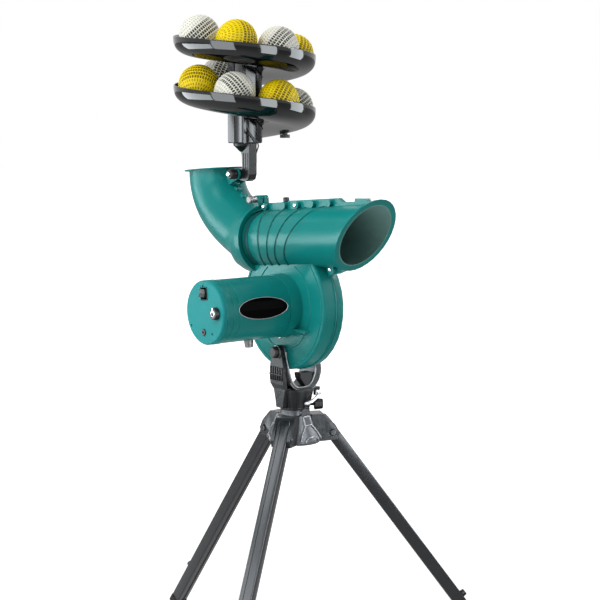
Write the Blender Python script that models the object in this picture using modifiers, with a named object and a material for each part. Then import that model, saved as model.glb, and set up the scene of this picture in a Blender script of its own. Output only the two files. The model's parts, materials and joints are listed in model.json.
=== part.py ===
"""Cricket bowling machine on a tripod, with a helical ball feeder.

Metres, +Z up. The ball leaves the tube towards -Y and the motor barrel points to -X. The world origin
lies on the floor under the middle of the feet. Run with: blender --background --python part.py
"""

from math import asin, cos, degrees, pi, radians, sin, sqrt

import bmesh
import bpy
from mathutils import Matrix, Vector

# Ball and running clearances
BALL_DIAMETER = 0.072
BALL_SQUEEZE = 0.004
SEAT_GAP = 0.0003
RUNNING_GAP = 0.0006

# Head: launch tube, wheel housing and motor barrel, measured from the wheel centre
TUBE_HEIGHT = 0.1125
BORE_RADIUS = 0.047
TUBE_WALL = 0.004
MOUTH_REACH = 0.194
MOUTH_RAKE = 0.75
MOUTH_FLANGE_WIDTH = 0.0058
MOUTH_FLANGE_THICKNESS = 0.005
TUBE_SHOULDER = 0.056
NECK_LENGTH = 0.036
NECK_WALL = 0.003
RIB_HEIGHT = 0.0014
RIB_THICKNESS = 0.0022
RIB_PLACES = (
    (0.0474, 0.028, 0.0180),
    (0.0150, 0.275, 0.0115),
    (-0.0186, 0.538, 0.0031),
    (-0.0563, 0.779, -0.0051),
)
HOUSING_RADIUS = 0.111
HOUSING_WALL = 0.0042
HOUSING_SIDE = 0.0265
SEAM_FLANGE_HALF = 0.004
SEAM_FLANGE_RISE = 0.014
SEAM_LUG_RADIUS = 0.0062
SEAM_LUG_HALF = 0.011
SEAM_LUG_PLACES = ((0.058, 0.1700), (0.006, 0.1697), (-0.030, 0.1690), (-0.071, 0.1690), (-0.116, 0.1688))
LOWER_LUG_PLACE = (-0.114, 0.0585)
LOWER_LUG_RADIUS = 0.0078
SEAM_BOLT_PLACE = 0.0085
SEAM_BOLT_RADIUS = 0.0055
SEAM_BOLT_HEIGHT = 0.0078
BARREL_RADIUS = 0.053
BARREL_WALL = 0.0035
BARREL_START = 0.050
BARREL_LENGTH = 0.130
CAP_THICKNESS = 0.0085
CAP_SPIGOT = 0.010
BOSS_WEB_HEIGHT = -0.0365
BOSS_WEB_THICKNESS = 0.0036
MOTOR_RADIUS = 0.036
MOTOR_LENGTH = 0.105
SHAFT_RADIUS = 0.006
WHEEL_WIDTH = 0.032
TYRE_THICKNESS = 0.015
PAD_DEPTH = 0.0045
PAD_HALF_WIDTH = 0.017
PAD_LENGTH = 0.110

# Controls on the end cap: (Y, Z) from the barrel axis, seen from the motor end
SWITCH_PLACE = (-0.001, 0.0315)
SWITCH_SIZE = (0.0165, 0.0195)
SWITCH_RISE = 0.0055
SWITCH_LEAN = 8.0
KNOB_PLACE = (-0.0338, -0.0010)
KNOB_RADIUS = 0.0105
KNOB_RISE = 0.008
JACK_PLACE = (0.0050, -0.0323)
JACK_RADIUS = 0.0058
CAP_SCREW_PLACES = ((0.001, 0.0436), (0.0404, -0.0215), (-0.0179, -0.0350))
BADGE_MIDDLE = 0.108
BADGE_HALF_LENGTH = 0.0500
BADGE_HALF_HEIGHT = 0.0178
BADGE_THICKNESS = 0.0012
STUD_PLACE = 0.103
STUD_RADIUS = 0.0085
STUD_LENGTH = 0.012

# Elbow: centre line in the tube's middle plane, as (Y, Z) from the wheel centre
LIP_POINT = (0.2085, 0.2450)
LIP_PULL = (0.218, 0.172)
COLLAR_PULL = (0.142, 0.137)
ELBOW_RADIUS = 0.0502
LIP_OVERHANG = 0.0090
LIP_THICKNESS = 0.0024
LIP_LEAN = 0.5
BELL_RADIUS = 0.060
BELL_FACE = 0.073
BELL_LENGTH = 0.036
CLAMP_SCREW_HEIGHT = 0.0710
CLAMP_LUG_HALF = 0.0120
CLAMP_SCREW_REACH = 0.0285
ELBOW_POINTS = 9
ELBOW_SIDES = 9

# Feeder, measured from its pivot on the elbow
PIVOT_POINT = (0.133, 0.2310)
PIVOT_EAR_RADIUS = 0.0100
PIVOT_EAR_THICKNESS = 0.0046
PIVOT_BOSS_REACH = 0.0285
PIVOT_BOSS_RADIUS = 0.0088
PIVOT_SCREW_RADIUS = 0.003
ARM_WIDTH = 0.0170
ARM_DEPTH = 0.0210
ARM_SETBACK = 0.0226
ARM_SKIRT_RADIUS = 0.0215
COLUMN_SETBACK = 0.0101
COLUMN_BOTTOM = 0.0544
COLUMN_TOP = 0.2290
COLUMN_SIDE = 0.0450
COLUMN_CORNER = 0.0025
GROOVE_WIDTH = 0.0032
GROOVE_DEPTH = 0.0022
SLOT_WIDTH = 0.0105
SLOT_HEIGHT = 0.040
SLOT_DEPTH = 0.0030
RAMP_RADIUS = 0.1256
RAMP_DEPTH = 0.0350
RAMP_WALL = 0.0025
RAMP_STEP_DEGREES = 10.0
UPPER_RAMP_START = 110.0
UPPER_RAMP_END = 400.0
RAMP_JOINT = 0.7
UPPER_RAMP_RIM = 0.2477
UPPER_RAMP_PITCH = 0.0700
LOWER_RAMP_END = 780.0
LOWER_RAMP_RIM = 0.1811
LOWER_RAMP_PITCH = 0.0856
UPPER_BALL_ANGLES = (169.0, 224.5, 275.5, 325.5)
LOWER_BALL_ANGLES = (443.0, 526.0, 582.0, 636.0, 689.0)
BALL_TRACK_CLEARANCE = 0.0012
PLUNGER_RADIUS = 0.0050
PLUNGER_RISE = 0.028
SOLENOID_RADIUS = 0.009
SOLENOID_LENGTH = 0.006
CABLE_RADIUS = 0.0012

# Tilt: the axis lies below and behind the wheel centre
HEAD_PITCH = 5.0
TILT_DROP = 0.0797
TILT_BACK = 0.0070
TILT_PIN_RADIUS = 0.0050

# Yoke, measured from the tilt axis
BRACKET_INSIDE = 0.0285
BRACKET_SHEET = 0.0032
BRACKET_DEPTH = 0.044
BRACKET_SHOULDER = 0.036
BRACKET_DROP = 0.0650
BRACKET_FOOT_HALF = 0.0230
BRACKET_FLANGE = 0.0105
CHEEK_THICKNESS = 0.0085
CHEEK_HALF_DEPTH = 0.0180
CHEEK_TOP_RADIUS = 0.0120
BOLT_HEAD_RADIUS = 0.0105
BOLT_HEAD_LENGTH = 0.0085
STOP_BLOCK_HEIGHT = 0.0240
SOCKET_TOP_RADIUS = 0.0325
SOCKET_FOOT_RADIUS = 0.0245
LOCK_KNOB_RADIUS = 0.0110
LOCK_KNOB_END_RADIUS = 0.0092
LOCK_KNOB_LENGTH = 0.0155
LOCK_KNOB_AZIMUTH = -33.0

# Hub and tripod
HUB_DROP = 0.1435
TILT_ABOVE_HUB = 0.1100
HUB_HEIGHT = 0.050
HUB_TOP_RADIUS = 0.029
HUB_BOTTOM_RADIUS = 0.047
NECK_RADIUS = 0.0255
NECK_HEIGHT = 0.008
CLAMP_BOSS_RADIUS = 0.0070
CLAMP_BOSS_REACH = 0.0050
CLAMP_BOSS_DROP = 0.0040
POST_RADIUS = 0.0115
LEG_TURN = -27.7
LEG_SPLAY = 36.36
LEG_LENGTH = 0.868
LEG_PIVOT_RADIUS = 0.064
LEG_PIVOT_BELOW_HUB = 0.0340
LEG_WIDTH = 0.0225
LEG_DEPTH = 0.0215
LEG_HEAD = 0.029
UPPER_LEG_LENGTH = 0.488
LEG_WALL = 0.0015
LEG_OVERLAP = 0.130
LEG_EDGE = 0.0020
LEG_LOCK_PLACE = 0.392
LEG_LOCK_RADIUS = 0.0065
LEG_LOCK_RISE = 0.0070
BRACKET_EAR = 0.0055
BRACKET_TOP_PLATE = 0.0040
FOOT_RADIUS = 0.0185
FOOT_HEIGHT = 0.036
ANKLE_HEIGHT = 0.014
LEG_AZIMUTHS = tuple(LEG_TURN - 120.0 * number for number in range(3))

# Sizes that follow from those above
TUBE_RADIUS = BORE_RADIUS + TUBE_WALL
NECK_OUTER = BORE_RADIUS + NECK_WALL
NECK_END = TUBE_SHOULDER + NECK_LENGTH
MOUTH_FLANGE_RADIUS = TUBE_RADIUS + MOUTH_FLANGE_WIDTH
PAD_FACE = BORE_RADIUS - PAD_DEPTH
WHEEL_RADIUS = TUBE_HEIGHT + PAD_FACE - (BALL_DIAMETER - BALL_SQUEEZE)
BARREL_END = BARREL_START + SEAT_GAP + BARREL_LENGTH
CAP_START = BARREL_END + SEAT_GAP
CAP_FACE = CAP_START + CAP_THICKNESS
CAVITY_SIDE = HOUSING_SIDE - HOUSING_WALL
MOTOR_SEAT = HOUSING_SIDE + 0.0055
BALL_RADIUS = BALL_DIAMETER / 2
RAMP_FLAT_RADIUS = RAMP_RADIUS * cos(radians(RAMP_STEP_DEGREES / 2))
BALL_TRACK = RAMP_FLAT_RADIUS - RAMP_WALL - BALL_RADIUS - BALL_TRACK_CLEARANCE / 3
PLUNGER_STANDOFF = BALL_RADIUS + PLUNGER_RADIUS + 0.001
PLUNGER_ANGLE = LOWER_BALL_ANGLES[-1] + degrees(2 * asin(PLUNGER_STANDOFF / (2 * BALL_TRACK)))
RAMP_INNER = (COLUMN_SIDE / 2) * sqrt(2) - COLUMN_CORNER * (sqrt(2) - 1) + SEAT_GAP + 0.0003
LOWER_LEG_RADIUS = LEG_DEPTH / 2 - LEG_WALL - SEAT_GAP
BRACKET_OUTSIDE = BRACKET_INSIDE + BRACKET_SHEET
POST_TOP = TILT_ABOVE_HUB - BRACKET_DROP - 0.0075
LEG_DROP = LEG_LENGTH * cos(radians(LEG_SPLAY))
LEG_REACH = LEG_PIVOT_RADIUS + LEG_LENGTH * sin(radians(LEG_SPLAY))
LEG_PIVOT_Z = ANKLE_HEIGHT + LEG_DROP
HUB_TOP_Z = LEG_PIVOT_Z + LEG_PIVOT_BELOW_HUB
TILT_AXIS_Z = HUB_TOP_Z + TILT_ABOVE_HUB
FOOT_XS = tuple(LEG_REACH * cos(radians(azimuth)) for azimuth in LEG_AZIMUTHS)
FOOT_YS = tuple(LEG_REACH * sin(radians(azimuth)) for azimuth in LEG_AZIMUTHS)
AXIS_X = -(max(FOOT_XS) + min(FOOT_XS)) / 2
AXIS_Y = -(max(FOOT_YS) + min(FOOT_YS)) / 2

ALONG_X = (0.0, pi / 2, 0.0)
LARGE_ROUND = 32
SMALL_ROUND = 16
PARTS = None
CUTTERS = None
MATERIALS = {}


# Scene, frames and materials


def clear_scene():
    for thing in list(bpy.data.objects):
        bpy.data.objects.remove(thing, do_unlink=True)


def collection(name):
    made = bpy.data.collections.new(name)
    bpy.context.scene.collection.children.link(made)
    return made


def material(name, colour, roughness, metallic=0.0):
    if name not in MATERIALS:
        made = bpy.data.materials.new(name)
        made.use_nodes = True
        shader = made.node_tree.nodes["Principled BSDF"]
        shader.inputs["Base Color"].default_value = (*colour, 1.0)
        shader.inputs["Roughness"].default_value = roughness
        shader.inputs["Metallic"].default_value = metallic
        made.diffuse_color = (*colour, 1.0)
        MATERIALS[name] = made
    return MATERIALS[name]


def teal():
    return material("teal_shell", (0.014, 0.30, 0.28), 0.32)


def black_gloss():
    return material("black_gloss", (0.012, 0.013, 0.016), 0.16)


def black_plastic():
    return material("black_plastic", (0.02, 0.021, 0.023), 0.45)


def dark_grey():
    return material("leg_grey", (0.032, 0.036, 0.040), 0.42)


def hub_grey():
    return material("hub_grey", (0.085, 0.09, 0.095), 0.40, 0.3)


def steel():
    return material("steel", (0.55, 0.56, 0.58), 0.28, 1.0)


def rubber():
    return material("rubber", (0.018, 0.018, 0.018), 0.8)


def frame(name, parent=None, location=(0, 0, 0), rotation=(0, 0, 0)):
    empty = bpy.data.objects.new(name, None)
    empty.empty_display_size = 0.03
    empty.location = location
    empty.rotation_euler = rotation
    empty.parent = parent
    PARTS.objects.link(empty)
    return empty


# Shapes. Each helper returns one object whose mesh is in its parent's coordinates unless it says otherwise.


def add_object(name, data, parent, finish=None):
    made = bpy.data.objects.new(name, data)
    made.parent = parent
    if finish is None:
        CUTTERS.objects.link(made)
        made.hide_render = True
        made.display_type = "WIRE"
    else:
        PARTS.objects.link(made)
        data.materials.append(finish)
    return made


def from_bmesh(name, shape, parent, finish=None, smooth=True):
    bmesh.ops.recalc_face_normals(shape, faces=shape.faces)
    data = bpy.data.meshes.new(name)
    shape.to_mesh(data)
    shape.free()
    if smooth and finish is not None:
        data.shade_smooth()
    return add_object(name, data, parent, finish)


def box(name, low, high, parent, finish=None, bevel=0.0, bevel_segments=2):
    shape = bmesh.new()
    size = Vector(high) - Vector(low)
    middle = (Vector(high) + Vector(low)) / 2
    matrix = Matrix.Translation(middle) @ Matrix.Diagonal((*size, 1.0))
    bmesh.ops.create_cube(shape, size=1.0, matrix=matrix)
    made = from_bmesh(name, shape, parent, finish, smooth=False)
    if bevel:
        add_bevel(made, bevel, bevel_segments)
    return made


def add_bevel(thing, width, segments):
    bevel = thing.modifiers.new("rounded edges", "BEVEL")
    bevel.width = width
    bevel.segments = segments
    bevel.limit_method = "ANGLE"
    bevel.angle_limit = radians(40)


def rod(name, radius, start, end, parent, finish=None, segments=LARGE_ROUND, end_radius=None):
    """A cylinder, or a cone, from one point to another."""
    start, end = Vector(start), Vector(end)
    direction = end - start
    turn = direction.to_track_quat("Z", "Y").to_matrix().to_4x4()
    matrix = Matrix.Translation((start + end) / 2) @ turn
    shape = bmesh.new()
    bmesh.ops.create_cone(
        shape,
        cap_ends=True,
        segments=segments,
        radius1=radius,
        radius2=radius if end_radius is None else end_radius,
        depth=direction.length,
        matrix=matrix,
    )
    return from_bmesh(name, shape, parent, finish)


def raked_disc(name, radius, rear, front, rake, parent, rake_rear=False, segments=LARGE_ROUND):
    """A cylinder along Y round the tube axis, with its front face, or both, leaning so that the top leads."""
    thing = rod(name, radius, (0, rear, TUBE_HEIGHT), (0, front, TUBE_HEIGHT), parent, segments=segments)
    middle = (rear + front) / 2
    for vertex in thing.data.vertices:
        if rake_rear or vertex.co.y < middle:
            vertex.co.y -= rake * (vertex.co.z - TUBE_HEIGHT)
    return thing


def bowed_ring(name, place, rake, bow, parent, segments=LARGE_ROUND):
    """A rib round the tube. Rake leans it as the mouth leans, and bow pushes its sides forward."""
    radius = TUBE_RADIUS + RIB_HEIGHT
    shape = bmesh.new()
    bmesh.ops.create_cone(
        shape,
        cap_ends=False,
        segments=segments,
        radius1=radius,
        radius2=radius,
        depth=RIB_THICKNESS,
        matrix=Matrix.Rotation(pi / 2, 4, "X") @ Matrix.Rotation(pi / segments, 4, "Z"),
    )
    for vertex in shape.verts:
        height = vertex.co.z
        vertex.co.y += place - rake * height - bow * (1 - (height / TUBE_RADIUS) ** 2)
        vertex.co.z += TUBE_HEIGHT
    ring = from_bmesh(name, shape, parent)
    wall = ring.modifiers.new("ring", "SOLIDIFY")
    wall.thickness = RIB_HEIGHT + TUBE_WALL * 0.6
    wall.offset = -1.0
    return ring


def turned(name, profile, parent, finish=None, steps=LARGE_ROUND, rotation=(0, 0, 0), location=(0, 0, 0)):
    """A turned solid. Profile points are (radius, height), from the top of its Z axis down its outside."""
    data = bpy.data.meshes.new(name)
    points = [(radius, 0.0, height) for radius, height in profile]
    edges = [(number, number + 1) for number in range(len(points) - 1)]
    data.from_pydata(points, edges, [])
    made = add_object(name, data, parent, finish)
    made.rotation_euler = rotation
    made.location = location
    screw = made.modifiers.new("turn", "SCREW")
    screw.steps = steps
    screw.render_steps = steps
    screw.use_merge_vertices = True
    screw.merge_threshold = 0.00001
    screw.use_smooth_shade = True
    return made


def plate(name, outline, thickness, parent, finish=None, plane="XZ", offset=0.0):
    """A flat outline with thickness. Plane XZ has its thickness along Y, and YZ along X."""
    curve = bpy.data.curves.new(name, "CURVE")
    curve.dimensions = "2D"
    curve.fill_mode = "BOTH"
    curve.extrude = thickness / 2
    line = curve.splines.new("POLY")
    line.points.add(len(outline) - 1)
    for point, (across, up) in zip(line.points, outline):
        point.co = (across, up, 0.0, 1.0)
    line.use_cyclic_u = True
    turn = Matrix.Rotation(pi / 2, 4, "X")
    if plane == "YZ":
        turn = Matrix.Rotation(pi / 2, 4, "Z") @ turn
    shift = Vector((offset, 0, 0)) if plane == "YZ" else Vector((0, offset, 0))
    return curve_to_mesh(name, curve, parent, finish, Matrix.Translation(shift) @ turn)


def swept(name, points, radius, parent, finish=None, sides=6, radii=None):
    """A round bar along a row of points."""
    curve = bpy.data.curves.new(name, "CURVE")
    curve.dimensions = "3D"
    curve.bevel_depth = radius
    curve.bevel_resolution = sides
    curve.use_fill_caps = True
    line = curve.splines.new("POLY")
    line.points.add(len(points) - 1)
    for number, (point, place) in enumerate(zip(line.points, points)):
        point.co = (*place, 1.0)
        point.radius = 1.0 if radii is None else radii[number]
    return curve_to_mesh(name, curve, parent, finish, Matrix.Identity(4))


def curve_to_mesh(name, curve, parent, finish, matrix):
    helper = bpy.data.objects.new(name + "_curve", curve)
    CUTTERS.objects.link(helper)
    bpy.context.view_layer.update()
    graph = bpy.context.evaluated_depsgraph_get()
    data = bpy.data.meshes.new_from_object(helper.evaluated_get(graph))
    bpy.data.objects.remove(helper, do_unlink=True)
    shape = bmesh.new()
    shape.from_mesh(data)
    bmesh.ops.remove_doubles(shape, verts=shape.verts, dist=0.00001)
    shape.transform(matrix)
    return from_bmesh(name, shape, parent, finish)


def combine(thing, operation, *others):
    for other in others:
        boolean = thing.modifiers.new(other.name, "BOOLEAN")
        boolean.operation = operation
        boolean.object = other
        boolean.solver = "EXACT"
    return thing


def joined(thing, *others):
    return combine(thing, "UNION", *others)


def cut(thing, *others):
    return combine(thing, "DIFFERENCE", *others)


def kept(thing, *others):
    return combine(thing, "INTERSECT", *others)


def baked_mesh(thing, name):
    """The evaluated mesh of a helper, in its parent's coordinates."""
    bpy.context.view_layer.update()
    graph = bpy.context.evaluated_depsgraph_get()
    data = bpy.data.meshes.new_from_object(thing.evaluated_get(graph))
    data.transform(thing.matrix_basis)
    data.name = name
    data.materials.clear()
    return data


def polar(radius, degrees, height=0.0):
    return Vector((radius * cos(radians(degrees)), radius * sin(radians(degrees)), height))


# Tripod


def foot_parts(azimuth, name, frames):
    ankle = Vector(polar(LEG_REACH, azimuth)) + Vector((AXIS_X, AXIS_Y, 0))
    profile = (
        (0.0, FOOT_HEIGHT),
        (FOOT_RADIUS * 0.72, FOOT_HEIGHT),
        (FOOT_RADIUS * 0.95, FOOT_HEIGHT * 0.80),
        (FOOT_RADIUS, FOOT_HEIGHT * 0.30),
        (FOOT_RADIUS, 0.0),
        (0.0, 0.0),
    )
    foot = turned(f"foot_{name}", profile, None, rubber(), steps=16, location=ankle)
    cutter = rod(
        f"foot_socket_{name}",
        LOWER_LEG_RADIUS + SEAT_GAP,
        (0, 0, -LEG_LENGTH - SEAT_GAP),
        (0, 0, -LEG_LENGTH + 0.08),
        frames[name],
    )
    cut(foot, cutter)
    foot.parent = frames[name]
    bpy.context.view_layer.update()
    foot.matrix_parent_inverse = frames[name].matrix_world.inverted()
    return foot


def leg_parts(azimuth, name, frames):
    pivot = Vector(polar(LEG_PIVOT_RADIUS, azimuth, LEG_PIVOT_Z)) + Vector((AXIS_X, AXIS_Y, 0))
    frames[name] = frame(f"leg_fold_{name}", None, pivot, (0, -radians(LEG_SPLAY), radians(azimuth)))
    leg = frames[name]
    half_depth, half_width = LEG_DEPTH / 2, LEG_WIDTH / 2
    upper = box(
        f"upper_leg_{name}",
        (-half_depth, -half_width, -UPPER_LEG_LENGTH),
        (half_depth, half_width, LEG_HEAD),
        leg,
        dark_grey(),
        bevel=LEG_EDGE,
        bevel_segments=1,
    )
    bore_top = -(UPPER_LEG_LENGTH - LEG_OVERLAP) + 0.32
    bore = rod(
        f"leg_bore_{name}",
        LOWER_LEG_RADIUS + SEAT_GAP,
        (0, 0, bore_top),
        (0, 0, -UPPER_LEG_LENGTH - 0.01),
        leg,
    )
    pin_hole = rod(
        f"pin_hole_{name}",
        TILT_PIN_RADIUS + SEAT_GAP,
        (0, -half_width - 0.01, 0),
        (0, half_width + 0.01, 0),
        leg,
        segments=SMALL_ROUND,
    )
    cut(upper, bore, pin_hole)
    rod(
        f"lower_leg_{name}",
        LOWER_LEG_RADIUS,
        (0, 0, -(UPPER_LEG_LENGTH - LEG_OVERLAP)),
        (0, 0, -LEG_LENGTH),
        leg,
        steel(),
        segments=SMALL_ROUND,
    )
    lock_start = half_depth + SEAT_GAP
    lock = rod(
        f"leg_lock_{name}",
        LEG_LOCK_RADIUS,
        (lock_start, 0, -LEG_LOCK_PLACE),
        (lock_start + LEG_LOCK_RISE, 0, -LEG_LOCK_PLACE),
        leg,
        black_plastic(),
        segments=SMALL_ROUND,
        end_radius=LEG_LOCK_RADIUS * 0.86,
    )
    lock.data.transform(Matrix.Translation((0, 0, LEG_LOCK_PLACE)))
    lock.location = (0, 0, -LEG_LOCK_PLACE)
    foot_parts(azimuth, name, frames)


def leg_bracket(azimuth, name):
    """A clevis on the hub, with the leg's pivot pin across it. Local X runs outwards from the hub's axis."""
    place = frame(f"bracket_place_{name}", None, (AXIS_X, AXIS_Y, LEG_PIVOT_Z), (0, 0, radians(azimuth)))
    ear_inside = LEG_WIDTH / 2 + SEAT_GAP
    ear_outside = ear_inside + BRACKET_EAR
    back = POST_RADIUS + 0.0145
    top = LEG_PIVOT_BELOW_HUB - 0.001
    outline = (
        (back, top),
        (LEG_PIVOT_RADIUS - 0.016, top),
        (LEG_PIVOT_RADIUS + 0.004, 0.014),
        (LEG_PIVOT_RADIUS + 0.012, -0.001),
        (LEG_PIVOT_RADIUS + 0.009, -0.013),
        (back, -0.0160),
    )
    bracket = plate(f"leg_bracket_{name}", outline, 2 * ear_outside, place, dark_grey())
    clearance = sqrt(LEG_HEAD**2 + (LEG_DEPTH / 2) ** 2) + 0.002
    slot = box(
        f"leg_slot_{name}",
        (LEG_PIVOT_RADIUS - clearance, -ear_inside, -0.05),
        (LEG_PIVOT_RADIUS + 0.05, ear_inside, top - BRACKET_TOP_PLATE),
        place,
    )
    pin = rod(
        f"leg_pin_{name}",
        TILT_PIN_RADIUS,
        (LEG_PIVOT_RADIUS, -ear_outside - 0.002, 0),
        (LEG_PIVOT_RADIUS, ear_outside + 0.002, 0),
        place,
        segments=SMALL_ROUND,
    )
    heads = [
        rod(
            f"leg_pin_head_{name}_{side}",
            TILT_PIN_RADIUS * 1.35,
            (LEG_PIVOT_RADIUS, side * (ear_outside - 0.001), 0),
            (LEG_PIVOT_RADIUS, side * (ear_outside + 0.0035), 0),
            place,
            segments=SMALL_ROUND,
            end_radius=TILT_PIN_RADIUS * 1.0,
        )
        for side in (-1, 1)
    ]
    joined(cut(bracket, slot), pin, *heads)
    hub_slot = box(
        f"hub_slot_{name}",
        (back - SEAT_GAP, -ear_outside - SEAT_GAP, -0.05),
        (0.09, ear_outside + SEAT_GAP, LEG_PIVOT_BELOW_HUB + 0.004),
        place,
    )
    return hub_slot


def hub_parts(slots):
    place = frame("hub_place", None, (AXIS_X, AXIS_Y, HUB_TOP_Z))
    profile = (
        (0.0, NECK_HEIGHT),
        (NECK_RADIUS, NECK_HEIGHT),
        (NECK_RADIUS, 0.0),
        (HUB_TOP_RADIUS, -0.0015),
        (HUB_TOP_RADIUS + 0.004, -0.012),
        (HUB_BOTTOM_RADIUS, -HUB_HEIGHT * 0.80),
        (HUB_BOTTOM_RADIUS, -HUB_HEIGHT + 0.004),
        (HUB_BOTTOM_RADIUS - 0.004, -HUB_HEIGHT),
        (0.0, -HUB_HEIGHT),
    )
    hub = turned("hub_casting", profile, place, hub_grey(), steps=LARGE_ROUND)
    post_hole = rod(
        "post_hole", POST_RADIUS + SEAT_GAP, (0, 0, -HUB_HEIGHT * 0.7), (0, 0, NECK_HEIGHT + 0.01), place
    )
    hollow = rod(
        "hub_hollow", POST_RADIUS + 0.009, (0, 0, -HUB_HEIGHT - 0.01), (0, 0, -HUB_HEIGHT * 0.78), place
    )
    clamp = rod(
        "hub_clamp_boss",
        CLAMP_BOSS_RADIUS,
        polar(NECK_RADIUS - 0.004, LEG_TURN - 67, NECK_HEIGHT - CLAMP_BOSS_DROP),
        polar(NECK_RADIUS + CLAMP_BOSS_REACH, LEG_TURN - 67, NECK_HEIGHT - CLAMP_BOSS_DROP),
        place,
        segments=SMALL_ROUND,
    )
    sleeve = rod("clamp_clearance", SOCKET_FOOT_RADIUS + 0.0014, (0, 0, NECK_HEIGHT), (0, 0, 0.03), place)
    joined(hub, clamp)
    cut(hub, sleeve, post_hole, hollow, *slots)
    rod(
        "centre_post",
        POST_RADIUS,
        (0, 0, -HUB_HEIGHT * 0.7 + SEAT_GAP),
        (0, 0, POST_TOP),
        place,
        steel(),
        segments=SMALL_ROUND,
    )


# Yoke: what turns on the hub and carries the head


def yoke_parts():
    pan = frame("pan_axis", None, (AXIS_X, AXIS_Y, TILT_AXIS_Z))
    sheet_bottom = -BRACKET_DROP
    socket_foot = -TILT_ABOVE_HUB + NECK_HEIGHT + SEAT_GAP
    socket_top = sheet_bottom - SEAT_GAP
    height = socket_top - socket_foot
    profile = (
        (0.0, socket_top),
        (SOCKET_TOP_RADIUS - 0.002, socket_top),
        (SOCKET_TOP_RADIUS, socket_top - 0.003),
        (SOCKET_TOP_RADIUS - 0.003, socket_top - height * 0.40),
        (SOCKET_FOOT_RADIUS, socket_foot + 0.002),
        (SOCKET_FOOT_RADIUS, socket_foot),
        (0.0, socket_foot),
    )
    socket = turned("yoke_socket", profile, pan, black_plastic(), steps=LARGE_ROUND)
    bore = rod(
        "socket_bore",
        POST_RADIUS + SEAT_GAP,
        (0, 0, socket_foot - 0.01),
        (0, 0, -TILT_ABOVE_HUB + POST_TOP + SEAT_GAP),
        pan,
    )
    cut(socket, bore)

    shoulder = -BRACKET_SHOULDER
    inside, outside = BRACKET_INSIDE, BRACKET_OUTSIDE
    foot = BRACKET_FOOT_HALF
    outline = (
        (-outside, CHEEK_TOP_RADIUS),
        (-outside, shoulder),
        (-foot, sheet_bottom),
        (foot, sheet_bottom),
        (outside, shoulder),
        (outside, CHEEK_TOP_RADIUS),
        (inside, CHEEK_TOP_RADIUS),
        (inside, shoulder + 0.001),
        (foot - 0.0015, sheet_bottom + BRACKET_SHEET),
        (-foot + 0.0015, sheet_bottom + BRACKET_SHEET),
        (-inside, shoulder + 0.001),
        (-inside, CHEEK_TOP_RADIUS),
    )
    bracket = plate("yoke_bracket", outline, BRACKET_DEPTH, pan, steel())
    flange_outline = (
        (outside - 0.001, -0.008),
        (outside + BRACKET_FLANGE * 0.85, -0.022),
        (outside + BRACKET_FLANGE, -0.042),
        (outside + BRACKET_FLANGE * 0.35, -0.056),
        (outside - 0.004, sheet_bottom + 0.0006),
        (foot - 0.0004, sheet_bottom + 0.0012),
        (outside - 0.001, shoulder),
    )
    flange = plate(
        "bracket_flange",
        flange_outline,
        BRACKET_SHEET,
        pan,
        offset=-BRACKET_DEPTH / 2 + BRACKET_SHEET / 2 + 0.0004,
    )
    side_outline = arm_outline(BRACKET_DEPTH / 2, shoulder, sheet_bottom - 0.01)
    keeper = plate("bracket_side_keeper", side_outline, 4 * outside, pan, plane="YZ")
    pin_hole = rod(
        "bracket_pin_hole", TILT_PIN_RADIUS + SEAT_GAP, (-0.06, 0, 0), (0.06, 0, 0), pan, segments=SMALL_ROUND
    )
    cut(joined(kept(bracket, keeper), flange), pin_hole)

    cheek_inside = outside + SEAT_GAP
    cheek_foot = socket_top + SEAT_GAP
    cheek = plate(
        "yoke_cheek_left",
        arm_outline(CHEEK_HALF_DEPTH, -0.022, cheek_foot),
        CHEEK_THICKNESS,
        pan,
        black_plastic(),
        plane="YZ",
        offset=-(cheek_inside + CHEEK_THICKNESS / 2),
    )
    face = -(cheek_inside + CHEEK_THICKNESS)
    ribs = []
    for number in range(6):
        across = CHEEK_HALF_DEPTH * (number - 2.5) / 2.9
        ribs.append(
            box(
                f"cheek_rib_{number}",
                (face - 0.0020, across - 0.0010, -0.049),
                (face + 0.0010, across + 0.0010, -0.0255),
                pan,
            )
        )
    bar = box(
        "cheek_bar",
        (face - 0.0024, -CHEEK_HALF_DEPTH + 0.0004, -0.0395),
        (face + 0.0010, CHEEK_HALF_DEPTH - 0.0004, -0.0372),
        pan,
    )
    slope = plate(
        "cheek_slope",
        (
            (-0.080, -0.050),
            (face - 0.0030, -0.050),
            (-SOCKET_TOP_RADIUS - 0.001, cheek_foot - 0.0008),
            (-0.080, -0.090),
        ),
        0.08,
        pan,
    )
    hole = rod(
        "cheek_hole", TILT_PIN_RADIUS + SEAT_GAP, (-0.02, 0, 0), (-0.06, 0, 0), pan, segments=SMALL_ROUND
    )
    cut(joined(cheek, *ribs, bar), slope, hole)
    add_bolt("tilt_bolt_left", -1, cheek_inside + CHEEK_THICKNESS, pan)
    add_bolt("tilt_bolt_right", 1, outside, pan)

    block_top = sheet_bottom + BRACKET_SHEET + SEAT_GAP
    block_outline = (
        (-0.0060, block_top + STOP_BLOCK_HEIGHT),
        (-0.0045, block_top + STOP_BLOCK_HEIGHT * 0.62),
        (0.0070, block_top),
        (0.0160, block_top),
        (0.0215, block_top + STOP_BLOCK_HEIGHT * 0.62),
        (0.0215, block_top + STOP_BLOCK_HEIGHT),
    )
    plate("tilt_stop_block", block_outline, 0.016, pan, black_plastic(), offset=-BRACKET_DEPTH / 2 + 0.009)
    lever_and_knob(pan, socket_foot, socket_top)
    return pan


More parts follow.
